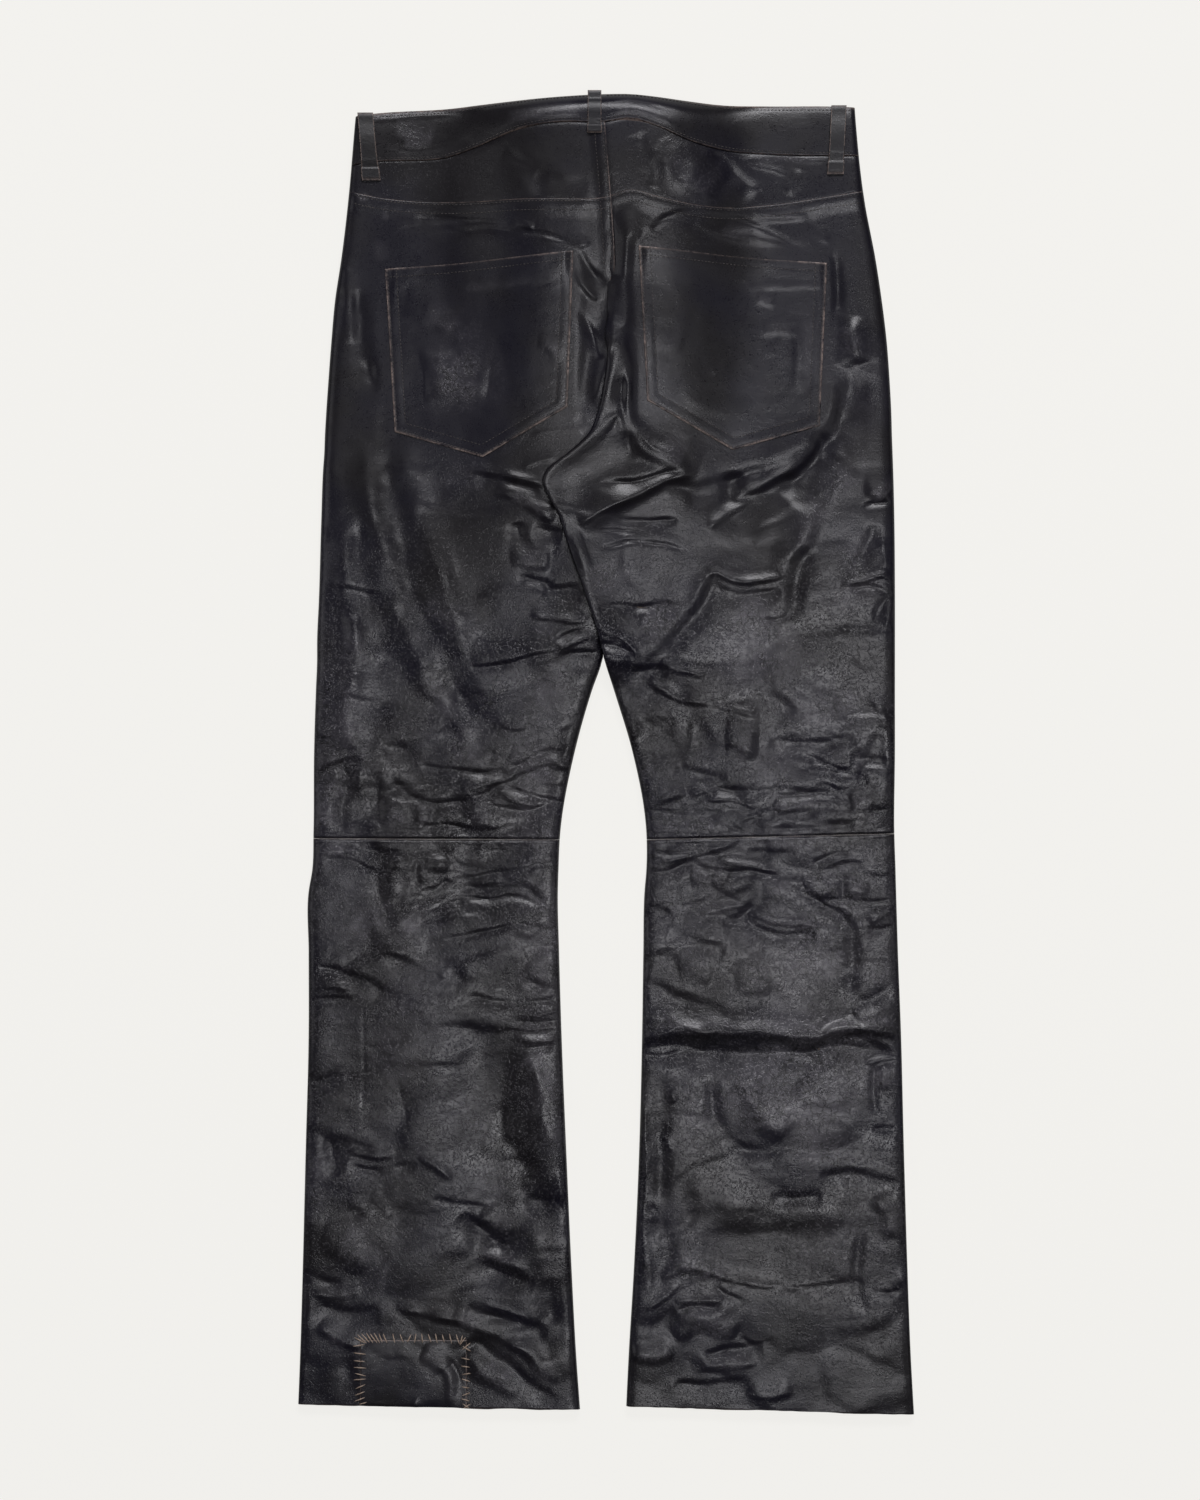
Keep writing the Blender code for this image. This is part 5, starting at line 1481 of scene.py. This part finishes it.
def build_patch():
    """The patch over the corner of the left hem."""
    left, right, top = PATCH
    shapes = []
    for step, fine in DETAIL:
        s, t = np.meshgrid(spread(88, step, fine, fine), spread(56, step, 0.0, fine))
        x = left + (right - left) * s
        low = leg_line(HEM, "left", x) + 0.3 + 0.4 * noise(x, 0 * x, 24, 81)
        y = low + (top - low) * t
        shapes.append(np.stack([x, y, patch_height(x, y)], -1))
    x, y = shapes[0][..., 0], shapes[0][..., 1]
    values = {"wear": rub_and_sheen(x, y, PATCH_RUBS), "raw": 0.8 * raw_line(patch_gap(x, y), x, y)}
    leather_wall("hem_patch", "hem_patch_leather", shapes, PATCH_WALL, values)


# The belt loops: which layer each is sewn to, the middle of its head and of its foot, its
# width at both, and how far it bows off the band.
LOOPS = {
    "belt_loop_back_left": ("back", -199.5, 530.5, -194.5, 474.5, 13.0, 14.5, 1.6),
    "belt_loop_back_middle": ("back", -9.5, 545.8, -9.5, 510.5, 11.2, 11.0, 1.0),
    "belt_loop_back_right": ("back", 193, 536.5, 190, 479.5, 12.5, 12.5, 1.6),
    "belt_loop_front_left": ("front", -98, 519, -98, 474, 12.0, 12.0, 0.3),
    "belt_loop_front_right": ("front", 98, 522, 98, 477, 12.0, 12.0, 0.3),
}
STRAP_CORNER = 0.45
STRAP_FLAT = (0.98, 0.86, 0.0, -0.86, -0.98)
STRAP_DEPTH = 1.1


def strap(path, up, across, half_width, half_depth):
    """A strap carried along a path: across the path and up from it, a flat section with a
    quarter circle at each corner, and both ends closed by a fan."""
    section = []
    for turn in range(4):
        angle = np.linspace(0, QUARTER, 4) + turn * QUARTER
        way = np.sign(np.array([np.cos(angle[0] + 0.1), np.sin(angle[0] + 0.1)]))
        for w in angle:
            round_x = STRAP_CORNER * (math.cos(w) - way[0])
            round_y = STRAP_CORNER * (math.sin(w) - way[1])
            section.append((way[0], round_x, way[1], round_y))
        if turn in (0, 2):
            section += [(way[0] * share, 0.0, way[1], 0.0) for share in STRAP_FLAT]
    section = np.array(section)
    a = section[None, :, 0] * half_width[:, None] + section[None, :, 1]
    b = section[None, :, 2] * half_depth[:, None] + section[None, :, 3]
    body = path[:, None] + across[:, None] * a[..., None] + up[:, None] * b[..., None]
    edge = (np.abs(section[:, 0]) > 0.97) & (b.mean(0) > -0.5)
    shape = (len(path), len(section))
    points = np.concatenate([body.reshape(-1, 3), path[[0, -1]]])
    raw = np.concatenate([np.broadcast_to(edge, shape).ravel(), [1.0, 1.0]])
    return points, *tube_faces(*shape), raw


def loop_ground(side, x, y):
    """Height of the band and the yoke under a belt loop, evened out along the loop, and the
    unit normals there."""
    lift = lambda side, x, y: np.where(
        y > waist(x, "band"), band_lift(side, x, y), yoke_lift(side, x, y)
    )
    z = on_back(side, x, np.minimum(y, waist(x, "top") - 8.0), lift)
    z = np.convolve(np.pad(z, 3, mode="edge"), np.ones(7) / 7, mode="valid")
    up = np.stack([0 * z, -np.gradient(z, y), np.ones_like(z)], -1)
    return z, up / np.linalg.norm(up, axis=1, keepdims=True)


def build_loops():
    """The belt loops, doubled straps that bow off the band between their sewn ends. The foot of
    each is turned under, so it is wider and thicker there."""
    t = np.linspace(0, 1, 56)
    turned_under = 1 - ease(t, 0.16, 0.21)
    across = np.stack([np.ones_like(t), 0 * t, 0 * t], -1)
    for name, (layer, head_x, head_y, foot_x, foot_y, head_w, foot_w, bow) in LOOPS.items():
        x = foot_x + (head_x - foot_x) * t
        y = foot_y + (head_y - foot_y) * t
        half_width = (foot_w + (head_w - foot_w) * ease(t, 0, 0.5)) / 2 + 0.5 * turned_under
        half_depth = STRAP_DEPTH + 0.45 * turned_under
        if layer == "back":
            z, up = loop_ground("left" if head_x < 0 else "right", x, y)
            rise = 1.4 + 0.4 * turned_under + bow * np.sin(math.pi * t) ** 1.5
            rise = rise - 0.9 * bump(t, 0, 0.03) - 0.5 * bump(t, 1, 0.03)
        else:
            z = np.full_like(t, FRONT_REST)
            up = np.stack([0 * t, 0 * t, -np.ones_like(t)], -1)
            rise = 1.35 + bow * np.sin(math.pi * t)
            half_depth = half_depth * 0.85
        path = np.stack([x, y, z], -1) + up * rise[:, None]
        points, quads, fans, raw = strap(path, up, across, half_width, half_depth)
        near_end = np.maximum(bump(t, 0, 0.025), bump(t, 1, 0.025))
        near_end = np.repeat(near_end, (len(raw) - 2) // len(t))
        raw[:-2] = np.clip(raw[:-2] * 0.7 + near_end * 0.35, 0, 1)
        values = {"wear": raw * 0.1, "raw": raw}
        piece = make_mesh(name + "_strap", points, quads, fans, None, values)
        dress(piece, name, "strap leather")


# --- Stitches ---


MACHINE_STITCH = {"radius": 0.32, "bow": 0.22, "sink": 0.05, "rings": 5, "around": 6}
MACHINE_PITCH = 3.0
MACHINE_LENGTH = 2.2
MACHINE_WOBBLE = 0.08
HAND_STITCH = {"radius": 0.5, "bow": 0.75, "sink": 0.3, "rings": 9, "around": 8}
HAND_LIFT = 0.35


def up_from(height, x, y, step=0.6):
    """Unit normals of a height over the plan."""
    slope_x = (height(x + step, y) - height(x - step, y)) / (2 * step)
    slope_y = (height(x, y + step) - height(x, y - step)) / (2 * step)
    up = np.stack([-slope_x, -slope_y, np.ones_like(slope_x)], -1)
    return up / np.linalg.norm(up, axis=-1, keepdims=True)


def on_height(height, plan):
    """Places of the plan lifted on to a height."""
    return np.column_stack([plan, height(plan[:, 0], plan[:, 1])])


def sew(name, rows):
    """Rows of machine stitches in one piece. Each row is a path in plan and the height that it
    is sewn on."""
    parts = []
    for number, (path, height) in enumerate(rows):
        ends = stitch_points(path, MACHINE_PITCH, MACHINE_LENGTH, number, MACHINE_WOBBLE)
        up = up_from(height, *((ends[0] + ends[1]) / 2).T)
        clear = up * MACHINE_STITCH["radius"] * 0.4
        parts.append([on_height(height, end) + clear for end in ends] + [up])
    start, end, up = (np.concatenate(part) for part in zip(*parts))
    thread(name, start, end, up, "black thread", **MACHINE_STITCH)


def build_seam_stitches():
    """The double rows below the yoke and beside the middle seam, and the band's two rows."""
    rows = []
    for side, yoke_ends, band_ends in (
        ("left", (-209, 1), (-204, -5)), ("right", (8.5, 210), (0, 203)),
    ):
        sewn, sewn_yoke, sewn_band = (
            lambda x, y, side=side, lift=lift: on_back(side, x, y, lift)
            for lift in (thigh_lift, yoke_lift, band_lift)
        )
        x = np.linspace(*yoke_ends, 90)
        for gap in YOKE_ROWS:
            rows.append((np.stack([x, waist(x, "yoke") - gap], -1), sewn))
        x = np.linspace(*band_ends, 90)
        rows.append((np.stack([x, waist(x, "band") + BAND_ROWS[0]], -1), sewn_band))
        rows.append((np.stack([x, waist(x, "top") - BAND_ROWS[1]], -1), sewn_band))
        if side == "left":
            for gap in MIDDLE_ROWS:
                for foot, head, height in ((403, 455, sewn), (459, 516, sewn_yoke)):
                    y = np.linspace(foot, head, 30)
                    rows.append((np.stack([outline(y, "left_in") - gap, y], -1), height))
    sew("seam_stitches", rows)


def inset_corners(points, gap):
    """The corners of a pocket's row of stitches: each moved inwards from both sides that meet
    in it, or from the one beside the mouth."""
    middle = points.mean(0)
    moved = []
    for i, here in enumerate(points):
        before, after = points[i - 1], points[(i + 1) % len(points)]
        a = (here - before) / np.linalg.norm(here - before)
        b = (after - here) / np.linalg.norm(after - here)
        normal_a, normal_b = np.array([a[1], -a[0]]), np.array([b[1], -b[0]])
        if np.dot(normal_a, middle - here) < 0:
            normal_a, normal_b = -normal_a, -normal_b
        both = (normal_a + normal_b) * gap / (1 + np.dot(normal_a, normal_b))
        moved.append(here + (normal_a * gap, normal_b * gap, both)[min(i, 2)])
    return np.array(moved)


def build_pocket_stitches():
    """Two rows round each pocket and one along its hem."""
    for side, corners in POCKETS.items():
        rows = []
        points = np.array(corners, float)
        height = partial(pocket_height, side, corners)
        for gap in POCKET_ROWS:
            inset = inset_corners(points, gap)
            for i, j in ((1, 2), (2, 3), (3, 4), (4, 0)):
                rows.append((inset[[i, j]] * 0.995 + inset[[j, i]] * 0.005, height))
        hem = points[[0, 1]] + np.array([[3.0, -MOUTH_ROW], [-3.0, -MOUTH_ROW]])
        s = np.linspace(0, 1, 20)[:, None]
        sag = np.array([0.0, MOUTH_SAG]) * np.sin(math.pi * s)
        rows.append((hem[0] * (1 - s) + hem[1] * s - sag, height))
        sew(f"pocket_stitches_{side}", rows)


# The hand stitches round the patch, a row for each: where it starts and ends.
WHIP_STITCHES = (
    (-209,-484.5, -199.5,-489.5), (-206.5,-482, -198.5,-489.5), (-203,-481.5, -196,-489),
    (-199,-481, -193,-489.5), (-196,-481.5, -189.5,-489.5), (-192.5,-481, -187.5,-489.5),
    (-188.5,-481.5, -185.5,-489), (-185,-481.5, -181.5,-489.5), (-177,-481.5, -175,-489.5),
    (-171,-482, -168,-489), (-165,-489, -161.5,-482), (-159,-489.5, -157.5,-481.5),
    (-153,-481.5, -152,-489.5), (-147.5,-482, -145,-489), (-141.5,-481.5, -140,-489.5),
    (-136,-482, -134,-489), (-130,-481.5, -128,-490), (-124.5,-482, -121.5,-490.5),
    (-119,-483, -121,-490), (-116.5,-484.5, -121.5,-491.5),
    (-210,-492, -200,-490.5), (-209.5,-497.5, -199,-498.5), (-209.5,-504, -199.5,-504.5),
    (-209.5,-509.5, -198.5,-510), (-208.5,-514.5, -199,-516.5), (-209.5,-520, -199,-519),
    (-208,-527.5, -199.5,-523.5), (-208.5,-533, -200,-529.5), (-209,-538, -200,-534.5),
    (-205,-540.5, -198.5,-538.5),
    (-112.5,-489.5, -119.5,-495), (-112,-496.5, -119,-492), (-112.5,-503.5, -120.5,-501.5),
    (-113,-509.5, -120.5,-508.5), (-112,-514.5, -119.5,-515.5), (-112.5,-521.5, -120,-519),
    (-113,-527, -120,-525.5), (-112.5,-530.5, -119.5,-533), (-113,-537.5, -120,-535.5),
    (-113.5,-543.5, -119,-539.5), (-112.5,-540, -118.5,-543.5),
)


def build_whip_stitches():
    """The hand stitches that hold the patch, each over its edge from the leather beside it."""
    ends = np.array(WHIP_STITCHES, float)
    height = lambda x, y: np.where(
        patch_gap(x, y) > 0, patch_height(x, y), on_back("left", x, y, shin_lift)
    )
    up = np.tile([0.0, 0.0, 1.0], (len(ends), 1))
    start, end = (on_height(height, plan) + up * HAND_LIFT for plan in (ends[:, :2], ends[:, 2:]))
    thread("patch_whip_stitches", start, end, up, "tan thread", **HAND_STITCH)


# --- The front ---


def build_front_panels():
    """Thigh and shin of each side of the front, and the fly strip behind the middle seam."""
    top = lambda x: front_top(x) - BAND_WIDTH - FRONT_BAND_GAP
    for side in SIDES:
        knee, hem = (partial(leg_line, ends, side) for ends in (KNEE, HEM))
        for part, low, high, length in (
            ("thigh", lambda x: knee(x) + FRONT_KNEE_GAP, top, 535),
            ("shin", hem, lambda x: knee(x) - FRONT_KNEE_GAP, 472),
        ):
            shapes = []
            for step in FRONT_STEPS:
                c, v = np.meshgrid(places(step), spread(length, step))
                x, y = settle(partial(front_across, side), c, v, low, high)
                shapes.append(np.stack([x, y, front_up(c, x, y)], -1))
            x, y = shapes[0][..., 0], shapes[0][..., 1]
            # The back's rubbed wear and painted sheen, mirrored and halved.
            values = {"wear": rub_and_sheen(-x, y, WEAR_AND_SHEEN) * 0.5, "raw": 0 * x}
            leather_wall(
                f"front_{part}_{side}", f"{part}_front_{side}", shapes, WALL, values, facing=-1
            )
    (left, right), (foot, head) = FLY
    s, t = np.meshgrid(np.linspace(0, 1, 10), np.linspace(0, 1, 34))
    x, y = left + (right - left) * s, foot + (head - foot) * t
    outer = np.stack([x, y, front_rest(x, y) + WALL + FLY_GAP + WALL], -1)
    values = {"wear": 0 * x, "raw": 0 * x}
    leather_wall("fly_strip", "fly_facing", (outer, outer[::3, ::3]), WALL, values)


def front_band_across(side, c, y):
    """The place x across one half of the front waistband, which laps past the middle line."""
    inward = INWARD[side]
    start = outline(y, side + "_out") + inward * FRONT_ROUND
    m = np.clip(c - 1, 0, 1)
    flat = start * (1 - m) + inward * CLOSING_LAP / 2 * m
    return np.where(c > 1, flat, front_across(side, np.minimum(c, 1), y))


def build_front_band():
    """The front waistband in two halves, the right end lapped inside the left one."""
    low = lambda x: front_top(x) - BAND_WIDTH + FRONT_BAND_GAP
    lap = -CLOSING_LAP / 2 - 2
    for side in SIDES:
        shapes = []
        for step in FRONT_BAND_STEPS:
            edge = np.linspace(0, 1, max(4, int(14 / step)), endpoint=False)
            c, v = np.meshgrid(
                np.concatenate([edge, 1 + spread(210, step)]), spread(BAND_WIDTH, step)
            )
            x, y = settle(partial(front_band_across, side), c, v, low, front_top)
            z = turned_up(c, y, FRONT_REST)
            if side == "right":
                z = z + (BAND_WALL + CLOSING_GAP) * ease(-x, lap - CLOSING_STEP, lap)
            shapes.append(np.stack([x, y, z], -1))
        x, y = shapes[0][..., 0], shapes[0][..., 1]
        values = {"wear": 0 * x, "raw": 0.6 * raw_line(front_top(x) - y, x, y)}
        leather_wall(
            f"waistband_front_{side}", f"waistband_outside_front_{side}", shapes, BAND_WALL,
            values, facing=-1,
        )


# The waist button's profile: radius, share of its depth, and height over its back.
BUTTON_PROFILE = (
    (0.01, 1, 0), (6.6, 1, 0), (7.9, 0.85, 0), (8.45, 0.55, 0), (8.3, 0.25, 0),
    (7.6, 0, 0.05), (6.7, 0, 0), (6.1, 0, 0.3), (5.2, 0, 0.55), (3.0, 0, 0.6),
    (1.6, 0, 0.55), (1.2, 0, 0.2), (0.01, 0, 0.15),
)
BUTTON_DISH = 0.15


def build_button():
    """The waist button: a turned disc with a rolled rim and a dished face, a profile of
    radius and height spun round the vertical."""
    low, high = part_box("waist_button")
    middle = np.array([(low.x + high.x) / 2, (low.y + high.y) / 2]) / MM
    base, top = low.z / MM, high.z / MM
    radius, share, rise = np.array(BUTTON_PROFILE).T
    turn = np.linspace(0, 2 * math.pi, 48, endpoint=False)
    shape = (len(radius), len(turn))
    flat = middle + radius[:, None, None] * np.stack([np.cos(turn), np.sin(turn)], -1)[None]
    height = np.broadcast_to((base + (share * (top - base) + rise))[:, None, None], (*shape, 1))
    points = np.concatenate([flat, height], -1).reshape(-1, 3)
    poles = np.array([[*middle, top], [*middle, base + BUTTON_DISH]])
    points = np.concatenate([points, poles])
    piece = make_mesh("waist_button_disc", points, *tube_faces(*shape), sharp=40.0)
    dress(piece, "waist_button", "button", slot="metal")


# --- The sheets, the stage and the add-on ---


LIGHT_COLOUR = (0.98, 0.968, 1.0)


def area_light(name, place, size, energy):
    """A soft rectangular light aimed at the middle of the floor."""
    data = bpy.data.lights.new(name, "AREA")
    data.shape = "RECTANGLE"
    data.size, data.size_y = size
    data.energy = energy
    data.color = LIGHT_COLOUR
    lamp = bpy.data.objects.new(name, data)
    bpy.context.scene.collection.objects.link(lamp)
    x, y, z = place
    lamp.location = place
    lamp.rotation_euler = (math.atan2(math.hypot(x, y), z), 0.0, math.atan2(x, -y))


FLOOR_HALF = 3000.0
FLOOR_HEIGHT = -0.6
FLOOR_SHADE = 0.12
# How much of the floor's glow falls on the leather.
FLOOR_SPILL = 0.3
SENSOR = 24.0
# The camera's place: nearly over the middle, and a little above the camera height.
CAMERA_SHIFT = (-0.005, 0.0025, 0.008)


def build_stage():
    """Floor, world, lights and camera."""
    s = bpy.context.scene.trousers_stage
    scene = bpy.context.scene
    scene.view_settings.view_transform = "Standard"
    world = bpy.data.worlds.new("studio")
    world.use_nodes = True
    sky = world.node_tree.nodes["Background"]
    sky.inputs["Color"].default_value = (*s.floor, 1)
    n = Nodes(world.node_tree)
    seen = n.add("LightPath").outputs["Is Camera Ray"]
    n.put(sky.inputs["Strength"], n.plus(n.times(seen, s.floor_glow - s.surround), s.surround))
    scene.world = world
    corners = ((-1, -1), (1, -1), (1, 1), (-1, 1))
    points = [(x * FLOOR_HALF, y * FLOOR_HALF, FLOOR_HEIGHT) for x, y in corners]
    floor = make_mesh("floor", points, np.array([[0, 1, 2, 3]]), np.zeros((0, 3), int))
    material = bpy.data.materials.new("pale_floor")
    material.use_nodes = True
    n = Nodes(material.node_tree)
    shader = material.node_tree.nodes["Principled BSDF"]
    seen = n.add("LightPath").outputs["Is Camera Ray"]
    glow = n.times(n.plus(n.times(seen, 1 - FLOOR_SPILL), FLOOR_SPILL), s.floor_glow)
    for name, value in (
        ("Base Color", (*(FLOOR_SHADE * v for v in s.floor), 1)),
        ("Roughness", 0.9),
        ("Specular IOR Level", 0.0),
        ("Emission Color", (*s.floor, 1)),
        ("Emission Strength", glow),
    ):
        n.put(shader.inputs[name], value)
    floor.data.materials.append(material)
    area_light("light_waist_side", (0.4, 2.95, 3.15), (2.2, 1.1), s.key)
    area_light("light_left_side", (-2.4, 0.2, 1.9), (1.4, 1.8), 2 * s.fill)
    area_light("light_right_side", (2.2, -0.4, 2.3), (1.4, 1.8), s.fill)
    area_light("light_over_knees", (0.5, -0.36, 4.2), (1.2, 0.7), s.overhead)
    data = bpy.data.cameras.new("camera")
    data.sensor_fit = "VERTICAL"
    data.sensor_height = SENSOR
    data.lens = SENSOR * s.camera_height / s.view_height
    data.clip_end = 50.0
    camera = bpy.data.objects.new("camera", data)
    scene.collection.objects.link(camera)
    x, y, z = CAMERA_SHIFT
    camera.location = (x, y, s.camera_height + z)
    scene.camera = camera


COLOUR = {"subtype": "COLOR", "size": 3}
LENGTH = {"subtype": "DISTANCE", "unit": "LENGTH"}


class FinishSettings(bpy.types.PropertyGroup):
    """Colours and gloss of the leather and the threads."""

    dark: bpy.props.FloatVectorProperty(
        name="Black", description="Finish where it is not rubbed",
        default=(0.0085, 0.0085, 0.0105), **COLOUR
    )
    # The grey of rubbed leather, which also paints the sheen and highlights.
    rub_and_sheen: bpy.props.FloatVectorProperty(
        name="Rubbed", description="Finish where it is rubbed grey",
        default=(0.15, 0.143, 0.16), **COLOUR
    )
    raw: bpy.props.FloatVectorProperty(
        name="Raw edge", description="Bare leather at cut edges",
        default=(0.42, 0.325, 0.285), **COLOUR
    )
    thread: bpy.props.FloatVectorProperty(
        name="Hand thread", description="Thread of the mend at the hem",
        default=(0.56, 0.44, 0.35), **COLOUR
    )
    roughness: bpy.props.FloatProperty(
        name="Roughness", description="How matt the finish is", default=0.3, min=0.0, max=1.0
    )


class StageSettings(bpy.types.PropertyGroup):
    """Floor, lights and camera."""

    floor: bpy.props.FloatVectorProperty(
        name="Floor", description="Colour of the floor",
        default=(0.89, 0.88, 0.85), **COLOUR
    )
    floor_glow: bpy.props.FloatProperty(
        name="Floor glow", description="Light that the floor gives off", default=0.93
    )
    surround: bpy.props.FloatProperty(
        name="Surround", description="Strength of the light from all round", default=0.04
    )
    key: bpy.props.FloatProperty(
        name="Waist side light", description="Power of the main light", default=92.0
    )
    fill: bpy.props.FloatProperty(
        name="Side lights", description="Power of the right light, half the left one's",
        default=3.5,
    )
    overhead: bpy.props.FloatProperty(
        name="Overhead light", description="Power of the light over the knees", default=25.0
    )
    camera_height: bpy.props.FloatProperty(
        name="Camera height", description="Height of the camera over the floor",
        default=3.5, **LENGTH
    )
    view_height: bpy.props.FloatProperty(
        name="View height", description="Length of floor in the camera's view",
        default=1.245, **LENGTH
    )


class TROUSERS_OT_stage(bpy.types.Operator):
    """Adds the floor, the lights and the camera"""

    bl_idname = "trousers.stage"
    bl_label = "Stage"

    def execute(self, context):
        build_stage()
        return {"FINISHED"}


class TROUSERS_OT_back(bpy.types.Operator):
    """Adds the back's yokes, thighs and shins"""

    bl_idname = "trousers.back"
    bl_label = "Back panels"

    def execute(self, context):
        build_back_panels()
        return {"FINISHED"}


class TROUSERS_OT_band(bpy.types.Operator):
    """Adds the back waistband and the belt loops"""

    bl_idname = "trousers.band"
    bl_label = "Waistband and loops"

    def execute(self, context):
        build_back_band()
        build_loops()
        return {"FINISHED"}


class TROUSERS_OT_pockets(bpy.types.Operator):
    """Adds the back pockets and the patch at the hem"""

    bl_idname = "trousers.pockets"
    bl_label = "Pockets and patch"

    def execute(self, context):
        build_pockets()
        build_patch()
        return {"FINISHED"}


class TROUSERS_OT_stitches(bpy.types.Operator):
    """Adds the machine stitches and the hand stitches of the mend"""

    bl_idname = "trousers.stitches"
    bl_label = "Stitches"

    def execute(self, context):
        build_seam_stitches()
        build_pocket_stitches()
        build_whip_stitches()
        return {"FINISHED"}


class TROUSERS_OT_front(bpy.types.Operator):
    """Adds the front panels, the front waistband and the button"""

    bl_idname = "trousers.front"
    bl_label = "Front"

    def execute(self, context):
        build_front_panels()
        build_front_band()
        build_button()
        return {"FINISHED"}


class TROUSERS_PT_panel(bpy.types.Panel):
    """Lists the steps that build the trousers"""

    bl_idname = "TROUSERS_PT_panel"
    bl_label = "Leather Trousers"
    bl_space_type = "VIEW_3D"
    bl_region_type = "UI"
    bl_category = "Trousers"

    def draw(self, context):
        layout = self.layout
        for step in STEPS:
            layout.operator(step.bl_idname)
        for group in (context.scene.trousers_finish, context.scene.trousers_stage):
            box = layout.box()
            for key in group.__annotations__:
                box.prop(group, key)


STEPS = (
    TROUSERS_OT_stage,
    TROUSERS_OT_back,
    TROUSERS_OT_band,
    TROUSERS_OT_pockets,
    TROUSERS_OT_stitches,
    TROUSERS_OT_front,
)
CLASSES = (FinishSettings, StageSettings, *STEPS, TROUSERS_PT_panel)


def register():
    for each in CLASSES:
        bpy.utils.register_class(each)
    bpy.types.Scene.trousers_finish = bpy.props.PointerProperty(type=FinishSettings)
    bpy.types.Scene.trousers_stage = bpy.props.PointerProperty(type=StageSettings)


def unregister():
    del bpy.types.Scene.trousers_stage
    del bpy.types.Scene.trousers_finish
    for each in reversed(CLASSES):
        bpy.utils.unregister_class(each)


def main():
    """Registers the add-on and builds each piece."""
    register()
    bpy.ops.trousers.stage()
    bpy.ops.trousers.back()
    bpy.ops.trousers.band()
    bpy.ops.trousers.pockets()
    bpy.ops.trousers.stitches()
    bpy.ops.trousers.front()


if __name__ == "__main__":
    main()
